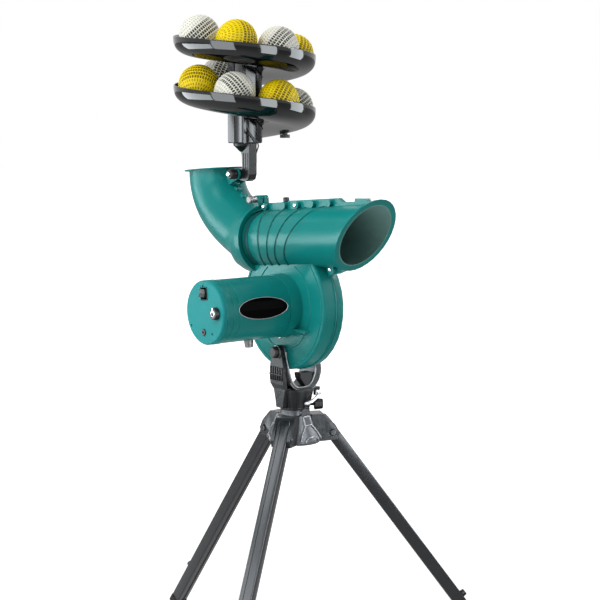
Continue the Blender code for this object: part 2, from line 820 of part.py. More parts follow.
def arm_outline(half_depth, shoulder, bottom):
    """A strap in side view: a round top about the tilt axis, widening to its full depth."""
    arc = [
        (CHEEK_TOP_RADIUS * cos(angle), CHEEK_TOP_RADIUS * sin(angle))
        for angle in (pi * number / 8 for number in range(9))
    ]
    return (*arc, (-half_depth, shoulder), (-half_depth, bottom), (half_depth, bottom), (half_depth, shoulder))


def add_bolt(name, side, face, parent):
    """A tilt bolt: head outside the cheek, shank through the cheek and strap into the housing wall."""
    head_start = face + SEAT_GAP
    profile = (
        (0.0, head_start + BOLT_HEAD_LENGTH),
        (BOLT_HEAD_RADIUS * 0.72, head_start + BOLT_HEAD_LENGTH),
        (BOLT_HEAD_RADIUS, head_start + BOLT_HEAD_LENGTH * 0.68),
        (BOLT_HEAD_RADIUS, head_start),
        (TILT_PIN_RADIUS, head_start),
        (TILT_PIN_RADIUS, CAVITY_SIDE - 0.001),
        (0.0, CAVITY_SIDE - 0.001),
    )
    return turned(name, profile, parent, steel(), steps=SMALL_ROUND, rotation=(0, side * pi / 2, 0))


def lever_and_knob(pan, socket_foot, socket_top):
    pivot = Vector((0.0365, -0.0140, 0.0))
    lever_height = socket_foot + 0.0245
    lever_frame = frame("swivel_lever_axis", pan, (pivot.x, pivot.y, lever_height))
    route = (
        (0.0010, -0.0020, 0.0),
        (-0.0010, -0.0090, 0.0000),
        (-0.0080, -0.0155, -0.0005),
        (-0.0170, -0.0195, -0.0040),
        (-0.0270, -0.0215, -0.0085),
        (-0.0370, -0.0225, -0.0112),
        (-0.0425, -0.0225, -0.0108),
    )
    lever = swept(
        "swivel_lever",
        route,
        0.0032,
        lever_frame,
        steel(),
        sides=2,
        radii=(1.0, 1.0, 0.9, 0.85, 0.9, 1.1, 0.75),
    )
    hub = rod("lever_hub", 0.0055, (0, 0, -0.0034), (0, 0, 0.006), lever_frame, segments=SMALL_ROUND)
    joined(lever, hub)
    lever_lug = box(
        "lever_lug",
        (0.0150, pivot.y - 0.0050, lever_height + 0.0060 + SEAT_GAP),
        (pivot.x + 0.0040, pivot.y + 0.0050, socket_top - 0.0005),
        pan,
    )
    joined(bpy.data.objects["yoke_socket"], lever_lug)

    knob_height = socket_foot + 0.0068
    knob_frame = frame("pan_lock_axis", pan, (0, 0, knob_height), (0, 0, radians(LOCK_KNOB_AZIMUTH)))
    start = SOCKET_TOP_RADIUS + 0.0006
    shape = bmesh.new()
    bmesh.ops.create_cone(
        shape,
        cap_ends=True,
        segments=7,
        radius1=LOCK_KNOB_RADIUS,
        radius2=LOCK_KNOB_END_RADIUS,
        depth=LOCK_KNOB_LENGTH,
        matrix=Matrix.Translation((start + LOCK_KNOB_LENGTH / 2, 0, 0)) @ Matrix.Rotation(pi / 2, 4, "Y"),
    )
    knob = from_bmesh("pan_lock_knob", shape, knob_frame, black_plastic(), smooth=False)
    stem = rod("knob_stem", 0.0030, (0.0180, 0, 0), (start + 0.002, 0, 0), knob_frame, segments=12)
    joined(knob, stem)
    stem_hole = rod("knob_stem_hole", 0.0033, (0.0175, 0, 0), (0.05, 0, 0), knob_frame, segments=SMALL_ROUND)
    cut(bpy.data.objects["yoke_socket"], stem_hole)


# Head


def housing_profile(outset):
    """Half outlines of the wheel housing as (radius, X), from right to left, shrunk by outset."""
    radius = HOUSING_RADIUS - outset
    side = HOUSING_SIDE - outset
    return (
        (0.0, side),
        (radius * 0.72, side),
        (radius * 0.90, side - 0.0035),
        (radius * 0.975, side - 0.0085),
        (radius, side - 0.0125),
        (radius, -side + 0.0035),
        (radius * 0.985, -side + 0.0010),
        (radius * 0.955, -side),
        (0.0, -side),
    )


def seam_outlines():
    """The flanges along the parting plane: over the tube, and between the tube and the housing."""
    crest = TUBE_HEIGHT + TUBE_RADIUS + SEAM_FLANGE_RISE
    low = TUBE_HEIGHT + TUBE_RADIUS - 0.004
    over = (
        (BELL_FACE - 0.0008, low),
        (BELL_FACE - 0.0008, crest - 0.0018),
        (0.0, crest - 0.0018),
        (-0.003, crest),
        (-0.135, crest - 0.0015),
        (-0.146, crest - 0.0085),
        (-0.1755, crest - 0.0095),
        (-0.177, crest - 0.0040),
        (-0.207, crest - 0.0055),
        (-0.209, crest - 0.0105),
        (-0.212, low),
    )
    under_tube = TUBE_HEIGHT - TUBE_RADIUS + 0.004
    under = (
        (0.040, under_tube),
        (-0.140, under_tube),
        (-0.140, under_tube - 0.0095),
        (-0.122, under_tube - 0.0145),
        (-0.104, under_tube - 0.0145),
        (-0.098, under_tube - 0.0260),
        (0.040, under_tube - 0.0260),
    )
    return over, under


def whole_shell(head):
    """Both moulded halves as one helper: launch tube, wheel housing, motor seat, ribs and seam flanges."""
    mouth = -MOUTH_REACH
    inside_flange = mouth + MOUTH_FLANGE_THICKNESS / 2
    shell = raked_disc("shell", TUBE_RADIUS, TUBE_SHOULDER, inside_flange, MOUTH_RAKE, head)
    neck = rod(
        "shell_neck",
        NECK_OUTER,
        (0, NECK_END, TUBE_HEIGHT),
        (0, TUBE_SHOULDER - 0.02, TUBE_HEIGHT),
        head,
        segments=LARGE_ROUND,
    )
    flange = raked_disc(
        "mouth_flange",
        MOUTH_FLANGE_RADIUS,
        mouth + MOUTH_FLANGE_THICKNESS,
        mouth,
        MOUTH_RAKE,
        head,
        rake_rear=True,
    )
    ribs = [
        bowed_ring(f"tube_rib_{number}", place, rake, bow, head)
        for number, (place, rake, bow) in enumerate(RIB_PLACES)
    ]
    housing = turned("housing_form", housing_profile(0.0), head, steps=LARGE_ROUND, rotation=ALONG_X)
    boss = rod(
        "motor_boss", BARREL_RADIUS + 0.0015, (-BARREL_START, 0, 0), (-0.01, 0, 0), head, segments=LARGE_ROUND
    )
    web_outline = (
        (-0.025, BOSS_WEB_HEIGHT),
        (-0.025, BOSS_WEB_HEIGHT - BOSS_WEB_THICKNESS),
        (-0.068, BOSS_WEB_HEIGHT - BOSS_WEB_THICKNESS - 0.0066),
        (-0.068, BOSS_WEB_HEIGHT - 0.0066),
    )
    web = plate("boss_web", web_outline, 0.014, head, plane="YZ", offset=-HOUSING_SIDE - 0.003)
    over, under = seam_outlines()
    fins = [
        plate("seam_over", over, 2 * SEAM_FLANGE_HALF, head, plane="YZ"),
        plate("seam_under", under, 2 * SEAM_FLANGE_HALF, head, plane="YZ"),
    ]
    seam_lugs = [
        rod(
            f"seam_lug_{number}",
            SEAM_LUG_RADIUS,
            (-SEAM_LUG_HALF, across, up),
            (SEAM_LUG_HALF, across, up),
            head,
            segments=12,
        )
        for number, (across, up) in enumerate(SEAM_LUG_PLACES)
    ]
    across, up = LOWER_LUG_PLACE
    seam_lugs.append(
        rod(
            "lower_seam_lug",
            LOWER_LUG_RADIUS,
            (-SEAM_LUG_HALF, across, up),
            (SEAM_LUG_HALF, across, up),
            head,
            segments=SMALL_ROUND,
        )
    )
    joined(shell, neck, flange, *ribs, housing, boss, web, *fins, *seam_lugs)

    bore = raked_disc("tube_bore", BORE_RADIUS, NECK_END + 0.02, mouth - 0.02, MOUTH_RAKE, head)
    cavity = turned("wheel_cavity", housing_profile(HOUSING_WALL), head, steps=24, rotation=ALONG_X)
    motor_seat = rod(
        "motor_recess",
        BARREL_RADIUS - BARREL_WALL,
        (-BARREL_START - 0.01, 0, 0),
        (-MOTOR_SEAT, 0, 0),
        head,
        segments=LARGE_ROUND,
    )
    shaft_hole = rod("shaft_hole", SHAFT_RADIUS + 0.002, (-0.06, 0, 0), (0, 0, 0), head, segments=SMALL_ROUND)
    tilt_holes = rod(
        "tilt_holes",
        TILT_PIN_RADIUS + SEAT_GAP,
        (-0.05, TILT_BACK, -TILT_DROP),
        (0.05, TILT_BACK, -TILT_DROP),
        head,
        segments=SMALL_ROUND,
    )
    cut(shell, bore, cavity, motor_seat, shaft_hole, tilt_holes)
    for boolean in shell.modifiers:
        boolean.use_self = True
    return shell


def shell_parts(head):
    shell = whole_shell(head)
    whole = baked_mesh(shell, "whole_shell")
    for side, name in ((-1, "left"), (1, "right")):
        half = add_object(f"shell_{name}", whole.copy(), head, teal())
        near = SEAT_GAP / 2
        keeper = box(
            f"keep_{name}",
            (min(side * near, side * 0.2), -0.4, -0.3),
            (max(side * near, side * 0.2), 0.4, 0.4),
            head,
        )
        if side > 0:
            # The right wall carries the shaft's end bearing, a boss that stands in the cavity.
            bearing = rod(
                "bearing_boss",
                SHAFT_RADIUS * 2,
                (WHEEL_WIDTH / 2 + 0.002, 0, 0),
                (HOUSING_SIDE - 0.001, 0, 0),
                head,
            )
            joined(half, bearing)
            bearing_hole = rod(
                "bearing_hole",
                SHAFT_RADIUS + SEAT_GAP,
                (0, 0, 0),
                (HOUSING_SIDE - 0.002, 0, 0),
                head,
                segments=SMALL_ROUND,
            )
            cut(half, bearing_hole)
        kept(half, keeper)
        half.data.shade_smooth()


def seam_bolt(head):
    """The dark bolt that stands on the top seam flange."""
    crest = TUBE_HEIGHT + TUBE_RADIUS + SEAM_FLANGE_RISE - 0.0018
    low = crest + SEAT_GAP
    profile = (
        (0.0, low + SEAM_BOLT_HEIGHT),
        (SEAM_BOLT_RADIUS * 0.8, low + SEAM_BOLT_HEIGHT),
        (SEAM_BOLT_RADIUS, low + SEAM_BOLT_HEIGHT - 0.0015),
        (SEAM_BOLT_RADIUS, low),
        (0.0, low),
    )
    turned("seam_bolt", profile, head, black_plastic(), steps=SMALL_ROUND, location=(0, SEAM_BOLT_PLACE, 0))


def drive_parts(head):
    rod(
        "drive_shaft",
        SHAFT_RADIUS,
        (-MOTOR_SEAT, 0, 0),
        (HOUSING_SIDE - 0.0035, 0, 0),
        head,
        steel(),
        segments=SMALL_ROUND,
    )
    rod(
        "motor_can",
        MOTOR_RADIUS,
        (-MOTOR_SEAT - SEAT_GAP - MOTOR_LENGTH, 0, 0),
        (-MOTOR_SEAT - SEAT_GAP, 0, 0),
        head,
        steel(),
        segments=32,
    )
    half = WHEEL_WIDTH / 2
    hub_radius = WHEEL_RADIUS - TYRE_THICKNESS
    hub = turned(
        "wheel_hub",
        (
            (SHAFT_RADIUS + SEAT_GAP, half),
            (0.018, half),
            (0.020, half - 0.006),
            (hub_radius - 0.008, half - 0.008),
            (hub_radius - 0.006, half - 0.001),
            (hub_radius, half - 0.001),
            (hub_radius, -half + 0.001),
            (hub_radius - 0.006, -half + 0.001),
            (hub_radius - 0.008, -half + 0.008),
            (0.020, -half + 0.006),
            (0.018, -half),
            (SHAFT_RADIUS + SEAT_GAP, -half),
            (SHAFT_RADIUS + SEAT_GAP, half),
        ),
        head,
        material("wheel_aluminium", (0.62, 0.63, 0.65), 0.35, 1.0),
        steps=LARGE_ROUND,
        rotation=ALONG_X,
    )
    weld_closed(hub)
    tyre = turned(
        "wheel_tyre",
        (
            (hub_radius + SEAT_GAP, half),
            (WHEEL_RADIUS - 0.003, half),
            (WHEEL_RADIUS, half - 0.004),
            (WHEEL_RADIUS, -half + 0.004),
            (WHEEL_RADIUS - 0.003, -half),
            (hub_radius + SEAT_GAP, -half),
            (hub_radius + SEAT_GAP, half),
        ),
        head,
        rubber(),
        steps=LARGE_ROUND,
        rotation=ALONG_X,
    )
    weld_closed(tyre)

    pad_box = box(
        "pad_box",
        (-PAD_HALF_WIDTH, -PAD_LENGTH / 2, TUBE_HEIGHT + PAD_FACE),
        (PAD_HALF_WIDTH, PAD_LENGTH / 2, TUBE_HEIGHT + BORE_RADIUS + 0.01),
        head,
    )
    pad = rod(
        "pressure_pad",
        BORE_RADIUS - SEAT_GAP,
        (0, PAD_LENGTH, TUBE_HEIGHT),
        (0, -PAD_LENGTH, TUBE_HEIGHT),
        head,
        rubber(),
        segments=LARGE_ROUND,
    )
    kept(pad, pad_box)


def weld_closed(thing):
    """Merges the first and last points of a closed profile before it's turned."""
    shape = bmesh.new()
    shape.from_mesh(thing.data)
    bmesh.ops.remove_doubles(shape, verts=shape.verts, dist=0.00001)
    shape.to_mesh(thing.data)
    shape.free()


def barrel_parts(head):
    inner = BARREL_RADIUS - BARREL_WALL
    start = -BARREL_START - SEAT_GAP
    end = -BARREL_END
    barrel = turned(
        "motor_barrel",
        (
            (inner, start),
            (BARREL_RADIUS, start),
            (BARREL_RADIUS, end + 0.0125),
            (BARREL_RADIUS - 0.0008, end + 0.0118),
            (BARREL_RADIUS + 0.0006, end + 0.0110),
            (BARREL_RADIUS + 0.0006, end),
            (inner, end),
            (inner, start),
        ),
        head,
        teal(),
        steps=LARGE_ROUND,
        rotation=ALONG_X,
    )
    weld_closed(barrel)

    cap_radius = BARREL_RADIUS + 0.0006
    spigot = inner - SEAT_GAP
    cap = turned(
        "end_cap",
        (
            (0.0, -CAP_START + CAP_SPIGOT),
            (spigot, -CAP_START + CAP_SPIGOT),
            (spigot, -CAP_START),
            (cap_radius, -CAP_START),
            (cap_radius, -CAP_FACE + 0.0020),
            (cap_radius - 0.0020, -CAP_FACE),
            (0.0, -CAP_FACE),
        ),
        head,
        teal(),
        steps=LARGE_ROUND,
        rotation=ALONG_X,
    )
    hollow = rod(
        "cap_hollow",
        spigot - 0.003,
        (-CAP_START + CAP_SPIGOT + 0.01, 0, 0),
        (-CAP_START - 0.004, 0, 0),
        head,
        segments=LARGE_ROUND,
    )
    cut(cap, hollow)
    controls(head, cap)

    over = rod(
        "badge_plate",
        BARREL_RADIUS + SEAT_GAP + BADGE_THICKNESS,
        (-BARREL_START, 0, 0),
        (-BARREL_END, 0, 0),
        head,
        material("badge_black", (0.004, 0.004, 0.005), 0.12),
        segments=LARGE_ROUND,
    )
    inside = rod(
        "badge_inside",
        BARREL_RADIUS + SEAT_GAP,
        (-BARREL_START + 0.01, 0, 0),
        (-BARREL_END - 0.01, 0, 0),
        head,
        segments=LARGE_ROUND,
    )
    oval = rod("badge_oval", 1.0, (0, -1, 0), (0, 0, 0), head, segments=LARGE_ROUND)
    stretch = Matrix.Diagonal((BADGE_HALF_LENGTH, BARREL_RADIUS * 2, BADGE_HALF_HEIGHT, 1.0))
    oval.data.transform(Matrix.Translation((-BADGE_MIDDLE, -0.01, 0.0020)) @ stretch)
    kept(cut(over, inside), oval)

    stud_top = -BARREL_RADIUS - SEAT_GAP
    stud = rod(
        "barrel_stud",
        STUD_RADIUS,
        (-STUD_PLACE, 0, stud_top + 0.004),
        (-STUD_PLACE, 0, stud_top - STUD_LENGTH),
        head,
        steel(),
        segments=SMALL_ROUND,
        end_radius=STUD_RADIUS * 0.8,
    )
    clear = rod(
        "stud_seat",
        BARREL_RADIUS + SEAT_GAP,
        (-BARREL_START, 0, 0),
        (-BARREL_END, 0, 0),
        head,
        segments=LARGE_ROUND,
    )
    cut(stud, clear)


def controls(head, cap):
    face = -CAP_FACE
    across, up = SWITCH_PLACE
    width, height = SWITCH_SIZE
    pocket = box(
        "switch_pocket",
        (face - 0.01, across - width / 2, up - height / 2),
        (face + 0.0065, across + width / 2, up + height / 2),
        head,
    )
    cut(cap, pocket)
    rocker_axis = frame("switch_axis", head, (face + 0.0030, across, up))
    gap = RUNNING_GAP
    half_width = width / 2 - gap
    reach = height / 2 - 0.0016
    outline = (
        (-0.0028, reach - 0.0012),
        (-SWITCH_RISE - 0.0030, reach - 0.0016),
        (-SWITCH_RISE - 0.0014, 0.0),
        (-SWITCH_RISE - 0.0030, -reach + 0.0016),
        (-0.0028, -reach + 0.0012),
        (0.0012, 0.0),
    )
    rocker = plate("power_switch", outline, 2 * half_width, rocker_axis, black_plastic())
    rocker.data.transform(Matrix.Rotation(radians(SWITCH_LEAN), 4, "Y"))

    across, up = KNOB_PLACE
    stem_radius = 0.0030
    knob_frame = frame("speed_knob_axis", head, (face, across, up))
    stem_hole = rod(
        "knob_hole", stem_radius + SEAT_GAP, (-0.01, 0, 0), (0.03, 0, 0), knob_frame, segments=SMALL_ROUND
    )
    cut(cap, stem_hole)
    profile = (
        (0.0, 0.0035),
        (stem_radius, 0.0035),
        (stem_radius, -SEAT_GAP),
        (KNOB_RADIUS, -SEAT_GAP),
        (KNOB_RADIUS * 0.93, -KNOB_RISE + 0.0012),
        (KNOB_RADIUS * 0.80, -KNOB_RISE),
        (0.0, -KNOB_RISE),
    )
    turned("speed_knob", profile, knob_frame, black_plastic(), steps=24, rotation=ALONG_X)

    across, up = JACK_PLACE
    jack_frame = frame("jack_place", head, (face, across, up))
    jack_hole = rod(
        "jack_hole", JACK_RADIUS * 0.72 + SEAT_GAP, (-0.01, 0, 0), (0.03, 0, 0), jack_frame, segments=SMALL_ROUND
    )
    cut(cap, jack_hole)
    jack = turned(
        "feeder_jack",
        (
            (0.0, 0.0070),
            (JACK_RADIUS * 0.72, 0.0070),
            (JACK_RADIUS * 0.72, -SEAT_GAP),
            (JACK_RADIUS, -SEAT_GAP),
            (JACK_RADIUS * 0.9, -0.0022),
            (0.0, -0.0022),
        ),
        jack_frame,
        steel(),
        steps=SMALL_ROUND,
        rotation=ALONG_X,
    )
    pin_hole = rod(
        "jack_pin_hole", JACK_RADIUS * 0.38, (-0.01, 0, 0), (0.0050, 0, 0), jack_frame, segments=SMALL_ROUND
    )
    cut(jack, pin_hole)
    for number, (screw_across, screw_up) in enumerate(CAP_SCREW_PLACES):
        recess = rod(
            f"cap_screw_recess_{number}",
            0.0021,
            (face - 0.01, screw_across, screw_up),
            (face + 0.0030, screw_across, screw_up),
            head,
            segments=12,
        )
        cut(cap, recess)


# Elbow and feeder


def elbow_route():
    """Points on a cubic curve from above the lip down into the collar, in the tube's middle plane."""
    collar = (BELL_FACE + BELL_LENGTH * 0.55, TUBE_HEIGHT)
    points = []
    for number in range(ELBOW_POINTS):
        along = number / (ELBOW_POINTS - 1)
        back = 1 - along
        weights = (back**3, 3 * back * back * along, 3 * back * along * along, along**3)
        corners = (LIP_POINT, LIP_PULL, COLLAR_PULL, collar)
        points.append(
            Vector(
                (
                    0.0,
                    sum(weight * corner[0] for weight, corner in zip(weights, corners)),
                    sum(weight * corner[1] for weight, corner in zip(weights, corners)),
                )
            )
        )
    return points


def elbow_parts(head):
    route = elbow_route()
    rise = (route[0] - route[1]).normalized()
    above = route[0] + rise * 0.014
    flat = Vector((0, BELL_FACE + BELL_LENGTH * 0.18, TUBE_HEIGHT))
    face = Vector((0, BELL_FACE, TUBE_HEIGHT))
    outer = [above, *route, flat, face]
    bell = BELL_RADIUS / ELBOW_RADIUS
    radii = [1.0] * (len(route) - 1) + [1 + (bell - 1) * 0.20, 1 + (bell - 1) * 0.60, bell, bell]
    elbow = swept("feed_elbow", outer, ELBOW_RADIUS, head, teal(), sides=ELBOW_SIDES, radii=radii)

    lip_middle = Vector((0.0, *LIP_POINT))
    lean = Matrix.Rotation(-radians(LIP_LEAN), 3, "X")
    up = lean @ Vector((0, 0, 1))
    lip = rod(
        "lip_flange",
        ELBOW_RADIUS + LIP_OVERHANG,
        lip_middle - up * LIP_THICKNESS,
        lip_middle,
        head,
        segments=LARGE_ROUND,
    )
    screw_y = BELL_FACE + 0.0066
    screw_z = TUBE_HEIGHT + CLAMP_SCREW_HEIGHT
    lugs = box(
        "clamp_lugs",
        (-CLAMP_LUG_HALF, screw_y - 0.0066, TUBE_HEIGHT + BELL_RADIUS - 0.008),
        (CLAMP_LUG_HALF, screw_y + 0.0080, screw_z + 0.0070),
        head,
    )
    ears = elbow_ears(head)
    joined(elbow, lip, lugs, *ears)

    above_lip = rod("above_lip", 0.09, lip_middle, lip_middle + up * 0.06, head, segments=SMALL_ROUND)
    bore_route = [route[0] + rise * 0.03, *route, Vector((0, BELL_FACE + 0.010, TUBE_HEIGHT))]
    bore = swept("elbow_bore", bore_route, BORE_RADIUS, head, sides=ELBOW_SIDES)
    neck_seat = rod(
        "neck_seat",
        NECK_OUTER + SEAT_GAP,
        (0, BELL_FACE - 0.02, TUBE_HEIGHT),
        (0, NECK_END + SEAT_GAP, TUBE_HEIGHT),
        head,
        segments=LARGE_ROUND,
    )
    clamp_slit = box(
        "clamp_slit",
        (-0.0012, BELL_FACE - 0.001, TUBE_HEIGHT + NECK_OUTER - 0.006),
        (0.0012, NECK_END + 0.0005, screw_z + 0.02),
        head,
    )
    screw_hole = rod(
        "clamp_screw_hole",
        0.0033,
        (-0.04, screw_y, screw_z),
        (CLAMP_LUG_HALF + 0.01, screw_y, screw_z),
        head,
        segments=SMALL_ROUND,
    )
    pivot_hole = rod(
        "ear_hole",
        PIVOT_SCREW_RADIUS + SEAT_GAP,
        (-0.04, *PIVOT_POINT),
        (0.04, *PIVOT_POINT),
        head,
        segments=SMALL_ROUND,
    )
    drum = rod(
        "drum_clearance",
        HOUSING_RADIUS + SEAT_GAP,
        (-HOUSING_SIDE - SEAT_GAP, 0, 0),
        (HOUSING_SIDE + SEAT_GAP, 0, 0),
        head,
        segments=LARGE_ROUND,
    )
    cut(elbow, above_lip, bore, neck_seat, clamp_slit, screw_hole, pivot_hole, drum)

    head_start = -CLAMP_LUG_HALF - SEAT_GAP
    turned(
        "elbow_clamp_screw",
        (
            (0.0, CLAMP_LUG_HALF),
            (0.0030, CLAMP_LUG_HALF),
            (0.0030, head_start),
            (0.0058, head_start),
            (0.0058, -CLAMP_SCREW_REACH + 0.0060),
            (0.0074, -CLAMP_SCREW_REACH + 0.0055),
            (0.0074, -CLAMP_SCREW_REACH + 0.0015),
            (0.0052, -CLAMP_SCREW_REACH),
            (0.0, -CLAMP_SCREW_REACH),
        ),
        head,
        steel(),
        steps=SMALL_ROUND,
        rotation=ALONG_X,
        location=(0, screw_y, screw_z),
    )


def elbow_ears(head):
    """Two lugs on the elbow's front wall, one on each side of the feeder arm."""
    across, up = PIVOT_POINT
    ear_inside = ARM_WIDTH / 2 + SEAT_GAP
    wall = LIP_POINT[0] - ELBOW_RADIUS + 0.012
    angles = [pi / 2 + pi * number / 6 for number in range(7)]
    nose = [(across + PIVOT_EAR_RADIUS * cos(a), up + PIVOT_EAR_RADIUS * sin(a)) for a in angles]
    outline = (*nose, (wall, up - 0.024), (wall + 0.006, up - 0.010), (wall, up + 0.008))
    made = []
    for side, name in ((-1, "left"), (1, "right")):
        offset = side * (ear_inside + PIVOT_EAR_THICKNESS / 2)
        made.append(plate(f"elbow_ear_{name}", outline, PIVOT_EAR_THICKNESS, head, plane="YZ", offset=offset))
    return made


def feeder_parts(head):
    feeder = frame("feeder_axis", head, (0, *PIVOT_POINT), (radians(HEAD_PITCH), 0, 0))
    pivot_screw(feeder)
    arm_parts(feeder)
    column_parts(feeder)
    ramp_parts(feeder)
    cable_parts(feeder)


def pivot_screw(feeder):
    """The feeder's pivot: a black spacer with a bright screw head, its shank through the ears and the arm."""
    ear_outside = ARM_WIDTH / 2 + SEAT_GAP + PIVOT_EAR_THICKNESS
    start = -ear_outside - SEAT_GAP
    profile = (
        (0.0, ear_outside),
        (PIVOT_SCREW_RADIUS, ear_outside),
        (PIVOT_SCREW_RADIUS, start),
        (PIVOT_BOSS_RADIUS, start),
        (PIVOT_BOSS_RADIUS, -PIVOT_BOSS_REACH + 0.001),
        (PIVOT_BOSS_RADIUS * 0.9, -PIVOT_BOSS_REACH),
        (0.0048, -PIVOT_BOSS_REACH),
        (0.0040, -PIVOT_BOSS_REACH - 0.0030),
        (0.0, -PIVOT_BOSS_REACH - 0.0030),
    )
    turned("pivot_screw", profile, feeder, black_plastic(), steps=SMALL_ROUND, rotation=ALONG_X)


def arm_parts(feeder):
    half_width, half_depth = ARM_WIDTH / 2, ARM_DEPTH / 2
    top = COLUMN_BOTTOM - SEAT_GAP
    front = -ARM_SETBACK - half_depth
    back = -ARM_SETBACK + half_depth
    bend = 0.0125
    outline = (
        (front, 0.0),
        (front, top),
        (-COLUMN_SETBACK + COLUMN_SIDE / 2 - 0.004, top),
        (-COLUMN_SETBACK + COLUMN_SIDE / 2 - 0.008, top - 0.006),
        (back + 0.004, top - 0.012),
        (back, top - 0.024),
        (back, 0.008),
        (0.0, PIVOT_EAR_RADIUS),
        (0.006, 0.0080),
        (PIVOT_EAR_RADIUS, 0.0),
        (0.006, -0.0080),
        (0.0, -PIVOT_EAR_RADIUS),
        (front + bend, -bend),
        (front + bend * 0.29, -bend * 0.71),
    )
    arm = plate("feeder_arm", outline, ARM_WIDTH, feeder, black_plastic(), plane="YZ")
    skirt = rod(
        "arm_skirt",
        ARM_SKIRT_RADIUS,
        (0, -COLUMN_SETBACK, top),
        (0, -COLUMN_SETBACK, top - 0.0045),
        feeder,
        segments=SMALL_ROUND,
        end_radius=ARM_SKIRT_RADIUS * 0.94,
    )
    flare = rod(
        "arm_flare",
        ARM_SKIRT_RADIUS * 0.94,
        (0, -COLUMN_SETBACK, top - 0.0040),
        (0, -COLUMN_SETBACK, top - 0.0150),
        feeder,
        segments=SMALL_ROUND,
        end_radius=ARM_WIDTH * 0.52,
    )
    hole = rod(
        "arm_hole",
        PIVOT_SCREW_RADIUS + SEAT_GAP,
        (-half_width - 0.01, 0, 0),
        (half_width + 0.01, 0, 0),
        feeder,
        segments=SMALL_ROUND,
    )
    cut(joined(arm, skirt, flare), hole)


def column_parts(feeder):
    half = COLUMN_SIDE / 2
    middle = -COLUMN_SETBACK
    column = box(
        "feeder_column",
        (-half, middle - half, COLUMN_BOTTOM),
        (half, middle + half, COLUMN_TOP),
        feeder,
        black_plastic(),
    )
    add_bevel(column, COLUMN_CORNER, 2)
    grooves = []
    for side, name in ((-1, "front"), (1, "back")):
        face = middle + side * half
        low = min(face - side * GROOVE_DEPTH, face + side * 0.01)
        high = max(face - side * GROOVE_DEPTH, face + side * 0.01)
        grooves.append(
            box(
                f"groove_{name}",
                (half * 0.30, low, COLUMN_BOTTOM - 0.01),
                (half * 0.30 + GROOVE_WIDTH, high, COLUMN_TOP + 0.01),
                feeder,
            )
        )
    for side, name in ((-1, "left"), (1, "right")):
        low = min(side * half - side * GROOVE_DEPTH, side * half + side * 0.01)
        high = max(side * half - side * GROOVE_DEPTH, side * half + side * 0.01)
        grooves.append(
            box(
                f"groove_{name}",
                (low, middle - GROOVE_WIDTH / 2, COLUMN_BOTTOM - 0.01),
                (high, middle + GROOVE_WIDTH / 2, COLUMN_TOP + 0.01),
                feeder,
            )
        )
    slot = box(
        "cable_slot",
        (-half + 0.0035, middle - half - 0.01, COLUMN_BOTTOM - 0.01),
        (-half + 0.0035 + SLOT_WIDTH, middle - half + SLOT_DEPTH, COLUMN_BOTTOM + SLOT_HEIGHT),
        feeder,
    )
    cut(column, *grooves, slot)


def ramp_profile():
    """The tray's section from its rim down the outside and in to the column, as (radius, height)."""
    return (
        (RAMP_RADIUS, 0.0),
        (RAMP_RADIUS - 0.0004, -RAMP_DEPTH * 0.30),
        (RAMP_RADIUS - 0.0046, -RAMP_DEPTH * 0.55),
        (RAMP_RADIUS - 0.0136, -RAMP_DEPTH * 0.80),
        (RAMP_RADIUS - 0.0276, -RAMP_DEPTH * 0.96),
        (RAMP_RADIUS - 0.0430, -RAMP_DEPTH),
        (RAMP_INNER, -RAMP_DEPTH),
    )


def ramp(name, start, end, rim, pitch, feeder):
    data = bpy.data.meshes.new(name)
    points = [(radius, 0.0, height) for radius, height in ramp_profile()]
    data.from_pydata(points, [(number, number + 1) for number in range(len(points) - 1)], [])
    made = add_object(name, data, feeder, black_gloss())
    made.location = (0, -COLUMN_SETBACK, rim)
    made.rotation_euler = (0, 0, radians(start))
    screw = made.modifiers.new("wind", "SCREW")
    screw.angle = radians(end - start)
    screw.screw_offset = -pitch * (end - start) / 360
    screw.steps = round((end - start) / RAMP_STEP_DEGREES)
    screw.render_steps = screw.steps
    screw.use_smooth_shade = True
    wall = made.modifiers.new("wall", "SOLIDIFY")
    wall.thickness = RAMP_WALL
    wall.offset = -1.0
    return made


def rim_height(angle, start, rim, pitch):
    return rim - pitch * (angle - start) / 360


